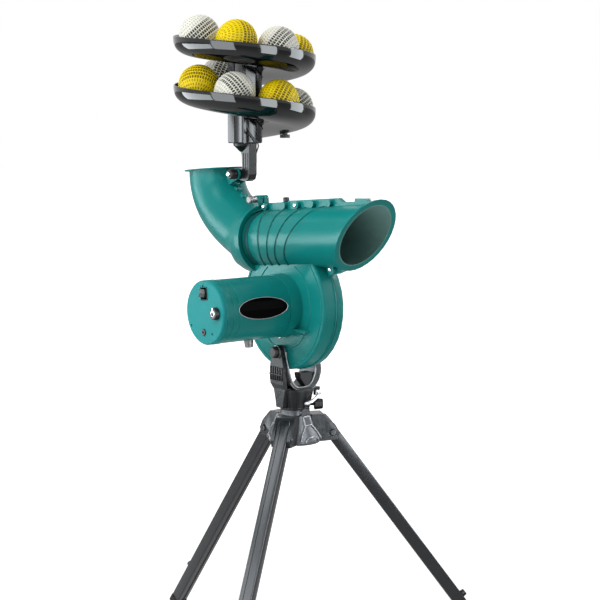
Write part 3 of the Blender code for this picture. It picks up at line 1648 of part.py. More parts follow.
def ramp_parts(feeder):
    ramp("upper_ramp", UPPER_RAMP_START, UPPER_RAMP_END, UPPER_RAMP_RIM, UPPER_RAMP_PITCH, feeder)
    lower = ramp("lower_ramp", UPPER_RAMP_END + RAMP_JOINT, LOWER_RAMP_END, LOWER_RAMP_RIM, LOWER_RAMP_PITCH, feeder)
    places = [
        (f"ball_upper_{number + 1}", angle, rim_height(angle, UPPER_RAMP_START, UPPER_RAMP_RIM, UPPER_RAMP_PITCH))
        for number, angle in enumerate(UPPER_BALL_ANGLES)
    ]
    places += [
        (f"ball_lower_{number + 1}", angle, rim_height(angle, UPPER_RAMP_END, LOWER_RAMP_RIM, LOWER_RAMP_PITCH))
        for number, angle in enumerate(LOWER_BALL_ANGLES)
    ]
    finishes = (
        material("ball_white", (0.83, 0.83, 0.72), 0.5),
        material("ball_yellow", (0.85, 0.66, 0.0), 0.5),
    )
    for number, (name, angle, rim) in enumerate(places):
        floor = rim - RAMP_DEPTH + RAMP_WALL
        centre = polar(BALL_TRACK, angle, floor + BALL_RADIUS + 0.0008) + Vector((0, -COLUMN_SETBACK, 0))
        shape = bmesh.new()
        bmesh.ops.create_uvsphere(shape, u_segments=12, v_segments=8, radius=BALL_RADIUS)
        ball = from_bmesh(name, shape, feeder, finishes[number % 2])
        ball.location = centre

    rim = rim_height(PLUNGER_ANGLE, UPPER_RAMP_END, LOWER_RAMP_RIM, LOWER_RAMP_PITCH)
    floor = rim - RAMP_DEPTH
    place = polar(BALL_TRACK, PLUNGER_ANGLE) + Vector((0, -COLUMN_SETBACK, 0))
    gate = frame("release_axis", feeder, (place.x, place.y, floor))
    floor_slope = LOWER_RAMP_PITCH / (2 * pi * BALL_TRACK)
    body_top = -SOLENOID_RADIUS * floor_slope - SEAT_GAP
    solenoid = rod(
        "release_solenoid",
        SOLENOID_RADIUS,
        (0, 0, body_top - SOLENOID_LENGTH),
        (0, 0, body_top),
        gate,
        steel(),
        segments=SMALL_ROUND,
    )
    well = rod(
        "solenoid_well",
        PLUNGER_RADIUS + SEAT_GAP,
        (0, 0, body_top - SOLENOID_LENGTH - 0.01),
        (0, 0, 0.02),
        gate,
        segments=SMALL_ROUND,
    )
    cut(solenoid, well)
    cut(lower, well)
    rod(
        "release_plunger",
        PLUNGER_RADIUS,
        (0, 0, body_top - SOLENOID_LENGTH),
        (0, 0, PLUNGER_RISE),
        gate,
        steel(),
        segments=SMALL_ROUND,
        end_radius=PLUNGER_RADIUS * 0.9,
    )


def cable_parts(feeder):
    """The feeder's lead: out of the column's slot, across its front face and round to the arm."""
    front = -COLUMN_SETBACK - COLUMN_SIDE / 2 - CABLE_RADIUS - 0.0008
    corners = (
        (-0.0140, front + 0.0018, COLUMN_BOTTOM + 0.0385),
        (-0.0135, front, COLUMN_BOTTOM + 0.0320),
        (-0.0105, front - 0.0006, COLUMN_BOTTOM + 0.0240),
        (-0.0035, front - 0.0008, COLUMN_BOTTOM + 0.0130),
        (0.0070, front - 0.0006, COLUMN_BOTTOM + 0.0030),
        (0.0112, front + 0.0002, COLUMN_BOTTOM - 0.0040),
        (0.0108, front + 0.0022, COLUMN_BOTTOM - 0.0100),
        (0.0103, front + 0.0058, COLUMN_BOTTOM - 0.0180),
    )
    swept("feeder_cable", smooth_route(corners, 3), CABLE_RADIUS, feeder, black_plastic(), sides=2)


def smooth_route(corners, pieces):
    """Points on a Catmull-Rom curve through the corners."""
    rows = [Vector(corner) for corner in corners]
    rows = [2 * rows[0] - rows[1], *rows, 2 * rows[-1] - rows[-2]]
    points = []
    for before, start, end, after in zip(rows, rows[1:], rows[2:], rows[3:]):
        for number in range(pieces):
            t = number / pieces
            points.append(
                0.5
                * (
                    2 * start
                    + (end - before) * t
                    + (2 * before - 5 * start + 4 * end - after) * t * t
                    + (3 * start - before - 3 * end + after) * t**3
                )
            )
    points.append(rows[-2])
    return points


def main():
    global PARTS, CUTTERS
    clear_scene()
    PARTS = collection("cricket_bowling_machine")
    CUTTERS = collection("cutters")

    frames = {}
    slots = []
    for number, azimuth in enumerate(LEG_AZIMUTHS, start=1):
        leg_parts(azimuth, str(number), frames)
        slots.append(leg_bracket(azimuth, str(number)))
    hub_parts(slots)
    pan = yoke_parts()

    tilt = frame("tilt_axis", pan, (0, 0, 0), (-radians(HEAD_PITCH), 0, 0))
    head = frame("wheel_axis", tilt, (0, -TILT_BACK, TILT_DROP))
    shell_parts(head)
    seam_bolt(head)
    drive_parts(head)
    barrel_parts(head)
    elbow_parts(head)
    feeder_parts(head)


main()
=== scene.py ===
import json
import logging
from collections.abc import Iterable
from dataclasses import dataclass
from enum import Enum
from typing import Any, ClassVar

import bmesh
import bpy
import numpy as np
from mathutils import Matrix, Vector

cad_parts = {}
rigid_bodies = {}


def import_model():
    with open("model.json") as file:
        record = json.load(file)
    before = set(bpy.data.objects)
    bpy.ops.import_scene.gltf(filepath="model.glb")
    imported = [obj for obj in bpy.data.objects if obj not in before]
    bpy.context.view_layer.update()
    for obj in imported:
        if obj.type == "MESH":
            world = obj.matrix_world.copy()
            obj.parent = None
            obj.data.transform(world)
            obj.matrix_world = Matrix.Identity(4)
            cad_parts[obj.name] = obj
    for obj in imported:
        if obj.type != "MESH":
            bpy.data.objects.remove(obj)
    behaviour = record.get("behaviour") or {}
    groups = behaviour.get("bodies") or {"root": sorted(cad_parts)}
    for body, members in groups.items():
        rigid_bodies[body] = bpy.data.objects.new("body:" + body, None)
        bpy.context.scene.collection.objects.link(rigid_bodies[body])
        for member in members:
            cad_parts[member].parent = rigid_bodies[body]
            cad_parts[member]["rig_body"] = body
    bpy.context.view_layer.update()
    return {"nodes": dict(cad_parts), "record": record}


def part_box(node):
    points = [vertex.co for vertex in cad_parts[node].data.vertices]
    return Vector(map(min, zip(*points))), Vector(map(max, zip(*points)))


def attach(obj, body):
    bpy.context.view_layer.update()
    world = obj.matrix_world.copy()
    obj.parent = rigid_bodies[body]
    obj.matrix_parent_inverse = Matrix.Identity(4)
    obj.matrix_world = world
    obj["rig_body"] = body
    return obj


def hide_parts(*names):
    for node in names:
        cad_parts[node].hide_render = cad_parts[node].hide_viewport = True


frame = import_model()

log = logging.getLogger("bowling_machine")
Array = np.ndarray
Faces = list[list[int]]
Point = tuple[float, float, float]
Colour = tuple[float, float, float]
Profile = list[tuple[float, float]]
Options = dict[Any, Any] | None
WHITE = (1.0, 1.0, 1.0, 1.0)
MERGE = 1e-6
BORE_START = (-0.01161, -0.12470, 1.04908)
BORE_DIRECTION = (0.0, 0.99619, -0.08716)
BORE_EDGE = (0.0474, 0.0486)
# Painted shade: the colour the launch tube's bore is painted, standing for the dim light inside it.
BORE_SHADE = (0.20, 0.36, 0.335)


# Shader expressions


class Signal:
    """A shader socket. Arithmetic on it adds Math nodes to its tree."""

    def __init__(self, nodes: "Nodes", socket: Any) -> None:
        """Wraps one output socket of a node in the tree."""
        self.nodes = nodes
        self.socket = socket

    def _math(self, operation: str, first: Any, second: Any) -> "Signal":
        """One Math node on two values or signals."""
        return self.nodes.node("ShaderNodeMath", {"operation": operation}, {0: first, 1: second})

    def __add__(self, other: Any) -> "Signal":
        """The sum."""
        return self._math("ADD", self, other)

    __radd__ = __add__

    def __sub__(self, other: Any) -> "Signal":
        """The difference."""
        return self._math("SUBTRACT", self, other)

    def __rsub__(self, other: Any) -> "Signal":
        """The difference, with this signal taken away."""
        return self._math("SUBTRACT", other, self)

    def __mul__(self, other: Any) -> "Signal":
        """The product."""
        return self._math("MULTIPLY", self, other)

    __rmul__ = __mul__

    def larger(self, other: "Signal") -> "Signal":
        """The larger of the two signals."""
        return self._math("MAXIMUM", self, other)

    def above(self, low: float, high: float) -> "Signal":
        """0 below low, 1 above high, and a smooth step between them."""
        sockets = {"Value": self, "From Min": low, "From Max": high}
        return self.nodes.node("ShaderNodeMapRange", {"interpolation_type": "SMOOTHSTEP"}, sockets)


class Nodes:
    """A node tree, with one way to add a node to it."""

    def __init__(self, tree: bpy.types.NodeTree) -> None:
        """Takes the tree."""
        self.tree = tree

    def node(self, kind: str, settings: Options = None, sockets: Options = None, output: Any = 0) -> Signal:
        """Adds a node.

        Args:
            kind: the node's type.
            settings: its properties, set first.
            sockets: values or signals, by input name or number.
            output: the output's name or number.

        Returns:
            The output as a signal.
        """
        made = self.tree.nodes.new(kind)
        for key, value in (settings or {}).items():
            setattr(made, key, value)
        for key, value in (sockets or {}).items():
            self.feed(made.inputs[key], value)
        return Signal(self, made.outputs[output])

    def feed(self, socket: Any, value: Any) -> None:
        """Links a signal to an input, or sets a plain value on it."""
        if isinstance(value, Signal):
            self.tree.links.new(value.socket, socket)
        else:
            socket.default_value = value

    def vector_math(self, operation: str, first: Any, second: Any = None, output: Any = 0) -> Signal:
        """A Vector Math node on one or two vectors."""
        sockets = {0: first} if second is None else {0: first, 1: second}
        return self.node("ShaderNodeVectorMath", {"operation": operation}, sockets, output)


class Sheet(Nodes):
    """One material's node tree, with short ways to add nodes to it."""

    def __init__(self, name: str) -> None:
        """Makes the material with its Principled shader."""
        self.material = bpy.data.materials.new(name)
        self.material.use_nodes = True
        super().__init__(self.material.node_tree)
        self.shader = self.tree.nodes["Principled BSDF"]

    def set(self, **values: Any) -> None:
        """Feeds the Principled shader's inputs, with _ for a space in a name."""
        for key, value in values.items():
            self.feed(self.shader.inputs[key.replace("_", " ")], value)

    def place(self, stretch: Colour = (1.0, 1.0, 1.0)) -> Signal:
        """Object coordinates, multiplied axis by axis."""
        here = self.node("ShaderNodeTexCoord", output="Object")
        if stretch == (1.0, 1.0, 1.0):
            return here
        return self.vector_math("MULTIPLY", here, stretch)

    def noise(self, scale: float, detail: float = 2.0, stretch: Colour = (1.0, 1.0, 1.0)) -> Signal:
        """Noise on Object coordinates, with scale in cells a metre."""
        sockets = {"Vector": self.place(stretch), "Scale": scale, "Detail": detail}
        return self.node("ShaderNodeTexNoise", None, sockets)

    def cells(self, scale: float) -> Signal:
        """Distance in a Voronoi pattern on Object coordinates."""
        return self.node("ShaderNodeTexVoronoi", None, {"Vector": self.place(), "Scale": scale}, "Distance")

    def attribute(self, name: str) -> Signal:
        """A number stored at the mesh's points."""
        return self.node("ShaderNodeAttribute", {"attribute_name": name}, None, "Fac")

    def facing_up(self) -> Signal:
        """1 on level upper faces and 0 on walls and undersides."""
        normal = self.node("ShaderNodeNewGeometry", output="Normal")
        return self.node("ShaderNodeSeparateXYZ", None, {0: normal}, "Z").above(0.75, 1.0)

    def mix(self, factor: Any, first: Any, second: Any) -> Signal:
        """A mix of two colours."""
        first, second = (tuple(c) + (1.0,) if isinstance(c, tuple) else c for c in (first, second))
        return self.node("ShaderNodeMix", {"data_type": "RGBA"}, {0: factor, 6: first, 7: second}, 2)

    def bump(self, height: Signal, depth: float) -> Signal:
        """A normal bent by a height signal of that depth in metres."""
        sockets = {"Height": height, "Distance": depth, "Strength": 1.0}
        return self.node("ShaderNodeBump", None, sockets, "Normal")


def tint(colour: Colour, share: float) -> Colour:
    """A colour made lighter or darker by a share of itself."""
    return tuple(min(channel * share, 1.0) for channel in colour)


@dataclass(frozen=True)
class Finish:
    """What a finish is: something that can dress a piece. Each kind of finish builds its own material."""

    name: str
    colour: Colour
    made: ClassVar[dict[str, bpy.types.Material]] = {}

    def paint(self, sheet: Sheet) -> None:
        """Fills the sheet. Each finish has its own."""
        raise NotImplementedError

    def material(self) -> bpy.types.Material:
        """The finish's material, built once."""
        if self.name not in Finish.made:
            sheet = Sheet(self.name)
            self.paint(sheet)
            Finish.made[self.name] = sheet.material
        return Finish.made[self.name]


@dataclass(frozen=True)
class MouldedShell(Finish):
    """Moulded plastic: soft waves, a fine grain, faint flow marks and dust on its upper faces; with bore set,
    painted shade inside the launch tube's bore.
    """

    roughness: float = 0.24
    wave_depth: float = 0.0006
    grain_depth: float = 0.00005
    dust: float = 0.04
    specular: float = 0.13
    bore: bool = False

    def paint(self, sheet: Sheet) -> None:
        """Fills the sheet."""
        drift = sheet.noise(7.0, 3.0)
        flow = sheet.noise(26.0, 4.0, (1.0, 0.25, 1.0)).above(0.45, 0.75)
        base = sheet.mix(drift, tint(self.colour, 0.84), tint(self.colour, 1.16))
        marked = sheet.mix(flow * 0.16, base, tint(self.colour, 1.45))
        # Painted shade: inside the bore the colour turns to BORE_SHADE.
        if self.bore:
            marked = sheet.mix(self.inside_bore(sheet), marked, BORE_SHADE)
        dust = sheet.facing_up() * sheet.noise(160.0, 5.0) * self.dust
        scuffs = sheet.noise(900.0, 2.0, (0.05, 1.0, 1.0)).above(0.66, 0.74)
        grain = sheet.cells(1600.0)
        wave = sheet.noise(11.0, 1.0)
        sheet.set(
            Base_Color=sheet.mix(dust, marked, (0.55, 0.58, 0.56)),
            Roughness=drift * 0.10 + scuffs * 0.10 + (self.roughness - 0.05),
            Normal=sheet.bump(grain * (self.grain_depth / self.wave_depth) + wave, self.wave_depth),
            Specular_IOR_Level=self.specular,
        )

    def inside_bore(self, sheet: Sheet) -> Signal:
        """1 in the launch tube's bore, where the painted shade goes: the way to its axis is the length of (point -
        start) x direction.
        """
        away = sheet.vector_math("SUBTRACT", sheet.place(), BORE_START)
        reach = sheet.vector_math("LENGTH", sheet.vector_math("CROSS_PRODUCT", away, BORE_DIRECTION), None, "Value")
        return 1.0 - reach.above(*BORE_EDGE)


@dataclass(frozen=True)
class PolishedSheet(Finish):
    """Black vacuum-formed sheet: a deep gloss with smears, fine scratches and a slight waviness."""

    roughness: float = 0.045
    smear: float = 0.05
    wave_depth: float = 0.0003
    specular: float = 0.50

    def paint(self, sheet: Sheet) -> None:
        """Fills the sheet."""
        smears = sheet.noise(34.0, 5.0).above(0.42, 0.70)
        scratches = sheet.noise(700.0, 1.0, (1.0, 1.0, 0.04)).above(0.68, 0.72)
        dust = sheet.facing_up() * sheet.noise(420.0, 3.0).above(0.5, 0.7)
        sheet.set(
            Base_Color=sheet.mix(dust * 0.5, self.colour, (0.12, 0.12, 0.12)),
            Roughness=smears * self.smear + scratches * 0.12 + self.roughness,
            Normal=sheet.bump(sheet.noise(13.0, 1.0), self.wave_depth),
            Specular_IOR_Level=self.specular,
        )


@dataclass(frozen=True)
class GrainedPlastic(Finish):
    """Matt moulded plastic with a leathery grain that is worn smooth in places."""

    roughness: float = 0.42
    grain: float = 900.0
    grain_depth: float = 0.00012
    specular: float = 0.30

    def paint(self, sheet: Sheet) -> None:
        """Fills the sheet."""
        worn = sheet.noise(48.0, 4.0).above(0.48, 0.68)
        grain = sheet.cells(self.grain)
        shade = sheet.mix(worn, self.colour, tint(self.colour, 1.8))
        sheet.set(
            Base_Color=sheet.mix(sheet.facing_up() * 0.10, shade, (0.30, 0.30, 0.29)),
            Roughness=self.roughness - worn * 0.12,
            Normal=sheet.bump(grain, self.grain_depth),
            Specular_IOR_Level=self.specular,
        )


@dataclass(frozen=True)
class PaintedMetal(Finish):
    """Sprayed metal: orange peel, a slightly drifting colour, and small spots rubbed to the metal."""

    roughness: float = 0.30
    metallic: float = 0.0
    peel_depth: float = 0.00010
    bare: Colour = (0.20, 0.20, 0.21)
    specular: float = 0.5

    def paint(self, sheet: Sheet) -> None:
        """Fills the sheet."""
        drift = sheet.noise(18.0, 3.0)
        rubbed = sheet.noise(240.0, 6.0).above(0.70, 0.74)
        shade = sheet.mix(drift, tint(self.colour, 0.86), tint(self.colour, 1.16))
        sheet.set(
            Base_Color=sheet.mix(rubbed * 0.6, shade, self.bare),
            Metallic=self.metallic,
            Roughness=drift * 0.12 + (self.roughness - 0.06),
            Normal=sheet.bump(sheet.noise(520.0, 2.0), self.peel_depth),
            Specular_IOR_Level=self.specular,
        )


@dataclass(frozen=True)
class DrawnMetal(Finish):
    """Bare metal with fine lines along or round it, and a few dull spots."""

    roughness: float = 0.22
    lines: Colour = (1.0, 1.0, 0.03)
    line_depth: float = 0.00004

    def paint(self, sheet: Sheet) -> None:
        """Fills the sheet."""
        lines = sheet.noise(1500.0, 2.0, self.lines)
        dull = sheet.noise(60.0, 5.0).above(0.52, 0.72)
        sheet.set(
            Base_Color=sheet.mix(dull, self.colour, tint(self.colour, 0.72)),
            Metallic=1.0,
            Roughness=dull * 0.18 + lines * 0.08 + self.roughness,
            Normal=sheet.bump(lines, self.line_depth),
        )


@dataclass(frozen=True)
class CastMetal(Finish):
    """Cast and painted metal: a sandy skin with soft hollows."""

    roughness: float = 0.34
    metallic: float = 0.45
    sand_depth: float = 0.00022

    def paint(self, sheet: Sheet) -> None:
        """Fills the sheet."""
        sand = sheet.noise(700.0, 4.0)
        hollow = sheet.noise(40.0, 2.0)
        shade = sheet.mix(hollow.above(0.35, 0.65), tint(self.colour, 0.8), tint(self.colour, 1.25))
        sheet.set(
            Base_Color=shade,
            Metallic=self.metallic,
            Roughness=hollow * 0.16 + (self.roughness - 0.08),
            Normal=sheet.bump(sand * 0.3 + hollow, self.sand_depth * 3.0),
        )


@dataclass(frozen=True)
class Rubber(Finish):
    """Rubber with a dusty bloom and a fine pitted skin."""

    roughness: float = 0.72
    pit_depth: float = 0.00020

    def paint(self, sheet: Sheet) -> None:
        """Fills the sheet."""
        bloom = sheet.noise(55.0, 5.0).above(0.40, 0.72)
        sheet.set(
            Base_Color=sheet.mix(bloom * 0.5, self.colour, (0.09, 0.088, 0.082)),
            Roughness=bloom * 0.16 + (self.roughness - 0.08),
            Normal=sheet.bump(sheet.cells(850.0), self.pit_depth),
        )


@dataclass(frozen=True)
class BallSkin(Finish):
    """Moulded ball skin. The mesh's recess attribute darkens the floors of the dimples as painted shade."""

    # A dark colour for the rubbed patches, and for the painted shade in the dimples.
    grime_and_dimple_shade: Colour
    roughness: float = 0.46

    def paint(self, sheet: Sheet) -> None:
        """Fills the sheet."""
        recess = sheet.attribute("recess")
        drift = sheet.noise(30.0, 4.0)
        skin = sheet.mix(drift, tint(self.colour, 0.93), tint(self.colour, 1.05))
        rubbed = sheet.noise(90.0, 6.0).above(0.60, 0.78)
        worn = sheet.mix(rubbed * 0.20, skin, tint(self.grime_and_dimple_shade, 2.2))
        sheet.set(
            # Painted shade: the recess darkens the floors of the dimples.
            Base_Color=sheet.mix(recess, worn, self.grime_and_dimple_shade),
            Roughness=recess * 0.25 + rubbed * 0.1 + self.roughness,
            Normal=sheet.bump(sheet.noise(1100.0, 2.0), 0.00006),
            Specular_IOR_Level=0.14,
        )


class Coat(Enum):
    """Every finish on the machine."""

    TEAL = MouldedShell("teal_moulding", (0.006, 0.235, 0.222))
    TEAL_BORED = MouldedShell("teal_moulding_with_painted_bore_shade", (0.006, 0.235, 0.222), bore=True)
    # Painted shade: a dark teal for thin bands that stand for shadow lines beside ribs, beads and the neck.
    TEAL_PAINTED_SHADE = MouldedShell("teal_moulding_in_a_corner", (0.004, 0.075, 0.072), 0.4)
    # Painted light: the end cap's teal is lighter than the rest, standing for the light from the left that falls on
    # it.
    TEAL_CAP = MouldedShell("teal_moulding_with_painted_light", (0.018, 0.29, 0.295), 0.40, specular=0.03)
    TRAY = PolishedSheet("polished_black_sheet", (0.0040, 0.0046, 0.0056))
    BADGE = PolishedSheet("black_badge_dome", (0.0015, 0.0015, 0.0017), 0.16, 0.02, 0.00002, 0.03)
    BLACK = GrainedPlastic("grained_black_plastic", (0.006, 0.0065, 0.0072))
    YOKE = GrainedPlastic("yoke_black_moulding", (0.0060, 0.0068, 0.0076), 0.34, 600.0, 0.00016)
    COLUMN = PaintedMetal("anodised_column", (0.012, 0.013, 0.015), 0.20, 0.10, 0.00003, specular=0.45)
    ARM = PaintedMetal("black_arm_moulding", (0.006, 0.0065, 0.007), 0.24, 0.0, 0.00010, specular=0.30)
    LEG = PaintedMetal("dark_leg_paint", (0.018, 0.020, 0.024), 0.22, 0.0, 0.00005, specular=0.45)
    HUB = CastMetal("grey_hub_casting", (0.060, 0.062, 0.070), metallic=0.10)
    # Painted highlight: the pale colour of the raised ridges on the hub's faces.
    HUB_RIDGE = CastMetal("hub_ridge_painted_highlight", (0.24, 0.245, 0.26), 0.26, 0.20)
    BRACKET = CastMetal("dark_hub_casting", (0.018, 0.021, 0.024), 0.30, 0.10)
    FORK = PaintedMetal("light_grey_fork", (0.13, 0.133, 0.140), 0.34, 0.10, 0.00006, specular=0.3)
    # A pale paint: painted highlights on the fork's edges, and the badge's silver trim.
    FORK_EDGE = PaintedMetal("fork_edge_painted_highlight_and_badge_trim", (0.40, 0.41, 0.43), 0.30, 0.10, 0.00006, specular=0.3)
    STEEL = DrawnMetal("plated_steel", (0.60, 0.61, 0.63))
    CHROME = DrawnMetal("bright_screw_heads", (0.80, 0.80, 0.80), 0.10)
    TUBE = DrawnMetal("drawn_leg_tube", (0.50, 0.51, 0.53), 0.26)
    MOTOR = PaintedMetal("grey_motor_paint", (0.09, 0.09, 0.10), 0.40, 0.2)
    DULL = PaintedMetal("dull_zinc_screw", (0.16, 0.155, 0.15), 0.36, 0.3)
    WHEEL = DrawnMetal("turned_wheel", (0.62, 0.63, 0.65), 0.20, (1.0, 0.03, 0.03))
    RUBBER = Rubber("black_rubber", (0.016, 0.016, 0.016))
    CABLE = Rubber("cable_sheath", (0.010, 0.010, 0.011), 0.40, 0.00003)
    WHITE_BALL = BallSkin("white_ball_skin", (0.84, 0.84, 0.75), (0.020, 0.024, 0.017))
    YELLOW_BALL = BallSkin("yellow_ball_skin", (0.92, 0.70, 0.002), (0.12, 0.080, 0.002))


SLOT_COATS = {
    "teal_shell": Coat.TEAL,
    "teal_cap": Coat.TEAL_CAP,
    "tray_black": Coat.TRAY,
    "column_black": Coat.COLUMN,
    "black_plastic": Coat.BLACK,
    "yoke_black": Coat.YOKE,
    "yoke_steel": Coat.FORK,
    "leg_grey": Coat.LEG,
    "leg_tube": Coat.TUBE,
    "hub_grey": Coat.HUB,
    "foot_rubber": Coat.RUBBER,
    "bright_steel": Coat.STEEL,
    "motor_steel": Coat.MOTOR,
    "wheel_aluminium": Coat.WHEEL,
    "tyre_rubber": Coat.RUBBER,
    "pad_rubber": Coat.RUBBER,
    "badge_black": Coat.BADGE,
    "fixing_black": Coat.BLACK,
    "cable_black": Coat.CABLE,
    "ball_white": Coat.WHITE_BALL,
    "ball_yellow": Coat.YELLOW_BALL,
}


# Surfaces


@dataclass(frozen=True)
class Placing:
    """A frame of the machine: where it starts, and its turn about X, then Y, then Z, in degrees."""

    origin: Point
    turn: Point = (0.0, 0.0, 0.0)

    def matrix(self) -> Array:
        """The frame's 3 by 3 rotation."""
        x, y, z = np.radians(self.turn)
        about_x = np.array([[1, 0, 0], [0, np.cos(x), -np.sin(x)], [0, np.sin(x), np.cos(x)]])
        about_y = np.array([[np.cos(y), 0, np.sin(y)], [0, 1, 0], [-np.sin(y), 0, np.cos(y)]])
        about_z = np.array([[np.cos(z), -np.sin(z), 0], [np.sin(z), np.cos(z), 0], [0, 0, 1]])
        return about_z @ about_y @ about_x

    def world(self, points: Array) -> Array:
        """Local points as points of the row frame."""
        return points @ self.matrix().T + np.array(self.origin)


@dataclass
class Surface:
    """Points and faces that aren't yet a mesh."""

    points: Array
    faces: Faces

    def __add__(self, other: "Surface") -> "Surface":
        """Both surfaces as one."""
        moved = [[corner + len(self.points) for corner in face] for face in other.faces]
        return Surface(np.vstack([self.points, other.points]), self.faces + moved)

    def turned(self, matrix: Array) -> "Surface":
        """The surface with its points multiplied by a rotation."""
        return Surface(self.points @ matrix.T, self.faces)

    def moved(self, shift: Point) -> "Surface":
        """The surface moved along."""
        return Surface(self.points + np.array(shift), self.faces)

    def placed(self, place: Placing) -> "Surface":
        """The surface in the row frame."""
        return Surface(place.world(self.points), self.faces)

    def upright(self) -> "Surface":
        """The surface with X and Z swapped, so that what was turned about X stands up."""
        return Surface(self.points[:, ::-1], self.faces)


def joined(surfaces: Iterable[Surface]) -> Surface:
    """Several surfaces as one."""
    first, *others = surfaces
    return sum(others, first)


def grid(points: Array, wrap_rows: bool = False, wrap_columns: bool = True) -> Surface:
    """Quads between the neighbours of a rows x columns x 3 array of points.

    Args:
        points: the array.
        wrap_rows: joins the last row to the first.
        wrap_columns: joins the last column to the first.
    """
    rows, columns = points.shape[:2]
    row = np.arange(rows if wrap_rows else rows - 1)[:, None]
    column = np.arange(columns if wrap_columns else columns - 1)[None, :]
    next_row, next_column = (row + 1) % rows, (column + 1) % columns
    corners = [row * columns + column, row * columns + next_column]
    corners += [next_row * columns + next_column, next_row * columns + column]
    faces = np.stack(np.broadcast_arrays(*corners), axis=-1).reshape(-1, 4)
    return Surface(points.reshape(-1, 3), faces.tolist())


def capped(rings: Array) -> Surface:
    """A closed surface through rings of points, with a face over the first ring and over the last."""
    made = grid(rings)
    count = rings.shape[1]
    last = len(made.points) - count
    made.faces += [list(range(count))[::-1], list(range(last, last + count))]
    return made


def disc(start: float, end: float, radius: float, steps: int, fillet: float = 0.0) -> Surface:
    """A round solid about X, from one place on it to another."""
    return revolved([(start, 0.0), (start, radius), (end, radius), (end, 0.0)], steps, fillet)


def revolved(profile: Profile, steps: int = 96, fillet: float = 0.0) -> Surface:
    """A turned surface about X. Profile points are (X, radius); a point at angle t is (X, r cos t, r sin t).

    Args:
        profile: from one end of the axis to the other.
        steps: how many facets go round.
        fillet: replaces each corner off the axis by four points of a curve that starts this far from it.
    """
    line = rounded(profile, fillet) if fillet else np.array(profile)
    angle = np.linspace(0.0, 2 * np.pi, steps, endpoint=False)
    along, radius = line[:, :1], line[:, 1:]
    ring = [along + 0 * angle, radius * np.cos(angle), radius * np.sin(angle)]
    return grid(np.stack(ring, axis=-1))


def rounded(profile: Profile, fillet: float) -> Array:
    """A profile whose inner corners are quadratic curves: (1-t)^2 before + 2t(1-t) corner + t^2 after."""
    line = np.array(profile, float)
    corner, before, after = line[1:-1], line[:-2], line[2:]
    reach = []
    for other in (before, after):
        away = other - corner
        length = np.linalg.norm(away, axis=1, keepdims=True)
        reach.append(corner + away / np.maximum(length, MERGE) * np.minimum(fillet, length * 0.45))
    t = np.linspace(0.0, 1.0, 4)[None, :, None]
    curve = (1 - t) ** 2 * reach[0][:, None] + 2 * t * (1 - t) * corner[:, None] + t**2 * reach[1][:, None]
    return np.vstack([line[:1], curve.reshape(-1, 2), line[-1:]])


def along_path(path: Array, radius: float, side: Point, steps: int) -> Surface:
    """A round bar: each ring is path + r (cos t n + sin t b), where n and b are at right angles to the path.

    Args:
        path: n points.
        radius: the bar's radius.
        side: a direction that the path never runs along; n leans towards it.
        steps: how many facets go round.
    """
    tangent = directions(path)
    binormal = np.cross(tangent, np.array(side, float))
    binormal /= np.linalg.norm(binormal, axis=1, keepdims=True)
    normal = np.cross(binormal, tangent)
    angle = np.linspace(0.0, 2 * np.pi, steps, endpoint=False)[None, :, None]
    rings = path[:, None] + radius * (np.cos(angle) * normal[:, None] + np.sin(angle) * binormal[:, None])
    ends = [np.repeat(path[end][None, None], steps, axis=1) for end in (0, -1)]
    return grid(np.concatenate([ends[0], rings, ends[1]]))


def slab(outline: Array, low: float, high: float, axis: int = 0) -> Surface:
    """A flat outline with thickness. Its two numbers go on the other axes, in order."""
    others = [number for number in range(3) if number != axis]
    rings = np.empty((2, len(outline), 3))
    rings[:, :, others] = outline
    rings[0, :, axis], rings[1, :, axis] = low, high
    return capped(rings)


def rectangle(low: tuple[float, float], high: tuple[float, float]) -> Array:
    """The corners of a rectangle between two opposite ones."""
    return np.array([low, (high[0], low[1]), high, (low[0], high[1])])


def block(low: Point, high: Point) -> Surface:
    """A rectangular block between two corners."""
    return slab(rectangle(low[:2], high[:2]), low[2], high[2], axis=2)


def smooth_line(corners: list[tuple[float, ...]], pieces: int) -> Array:
    """Points on a Catmull-Rom curve through the corners, worked out for all spans at once."""
    rows = np.array(corners, float)
    rows = np.vstack([2 * rows[0] - rows[1], rows, 2 * rows[-1] - rows[-2]])
    before, start, end, after = (rows[number : len(rows) - 3 + number, None] for number in range(4))
    t = (np.arange(pieces) / pieces)[None, :, None]
    cubic = 3 * start - before - 3 * end + after
    curve = 2 * start + (end - before) * t + (2 * before - 5 * start + 4 * end - after) * t**2 + cubic * t**3
    return np.vstack([0.5 * curve.reshape(-1, rows.shape[1]), rows[-2]])


def directions(line: Array) -> Array:
    """Unit vectors along a line of points."""
    along = np.gradient(line, axis=0)
    return along / np.linalg.norm(along, axis=1, keepdims=True)


def circle_section(angle: Array) -> Array:
    """Unit vectors at the given angles, as rows of (cos, sin)."""
    return np.stack([np.cos(angle), np.sin(angle)], axis=-1)


# Pieces


def tidy(data: bpy.types.Mesh, recalculate: bool = True, flat: bool = False) -> None:
    """Merges a mesh's doubled points, joins its level triangles and turns its faces outward."""
    shape = bmesh.new()
    shape.from_mesh(data)
    bmesh.ops.remove_doubles(shape, verts=shape.verts, dist=MERGE)
    if flat:
        bmesh.ops.dissolve_limit(shape, angle_limit=0.01, verts=shape.verts, edges=shape.edges)
    if recalculate:
        bmesh.ops.recalc_face_normals(shape, faces=shape.faces)
    shape.to_mesh(data)
    shape.free()


def linked(name: str, data: bpy.types.ID) -> bpy.types.Object:
    """A new object of the scene that holds the data."""
    made = bpy.data.objects.new(name, data)
    bpy.context.scene.collection.objects.link(made)
    return made


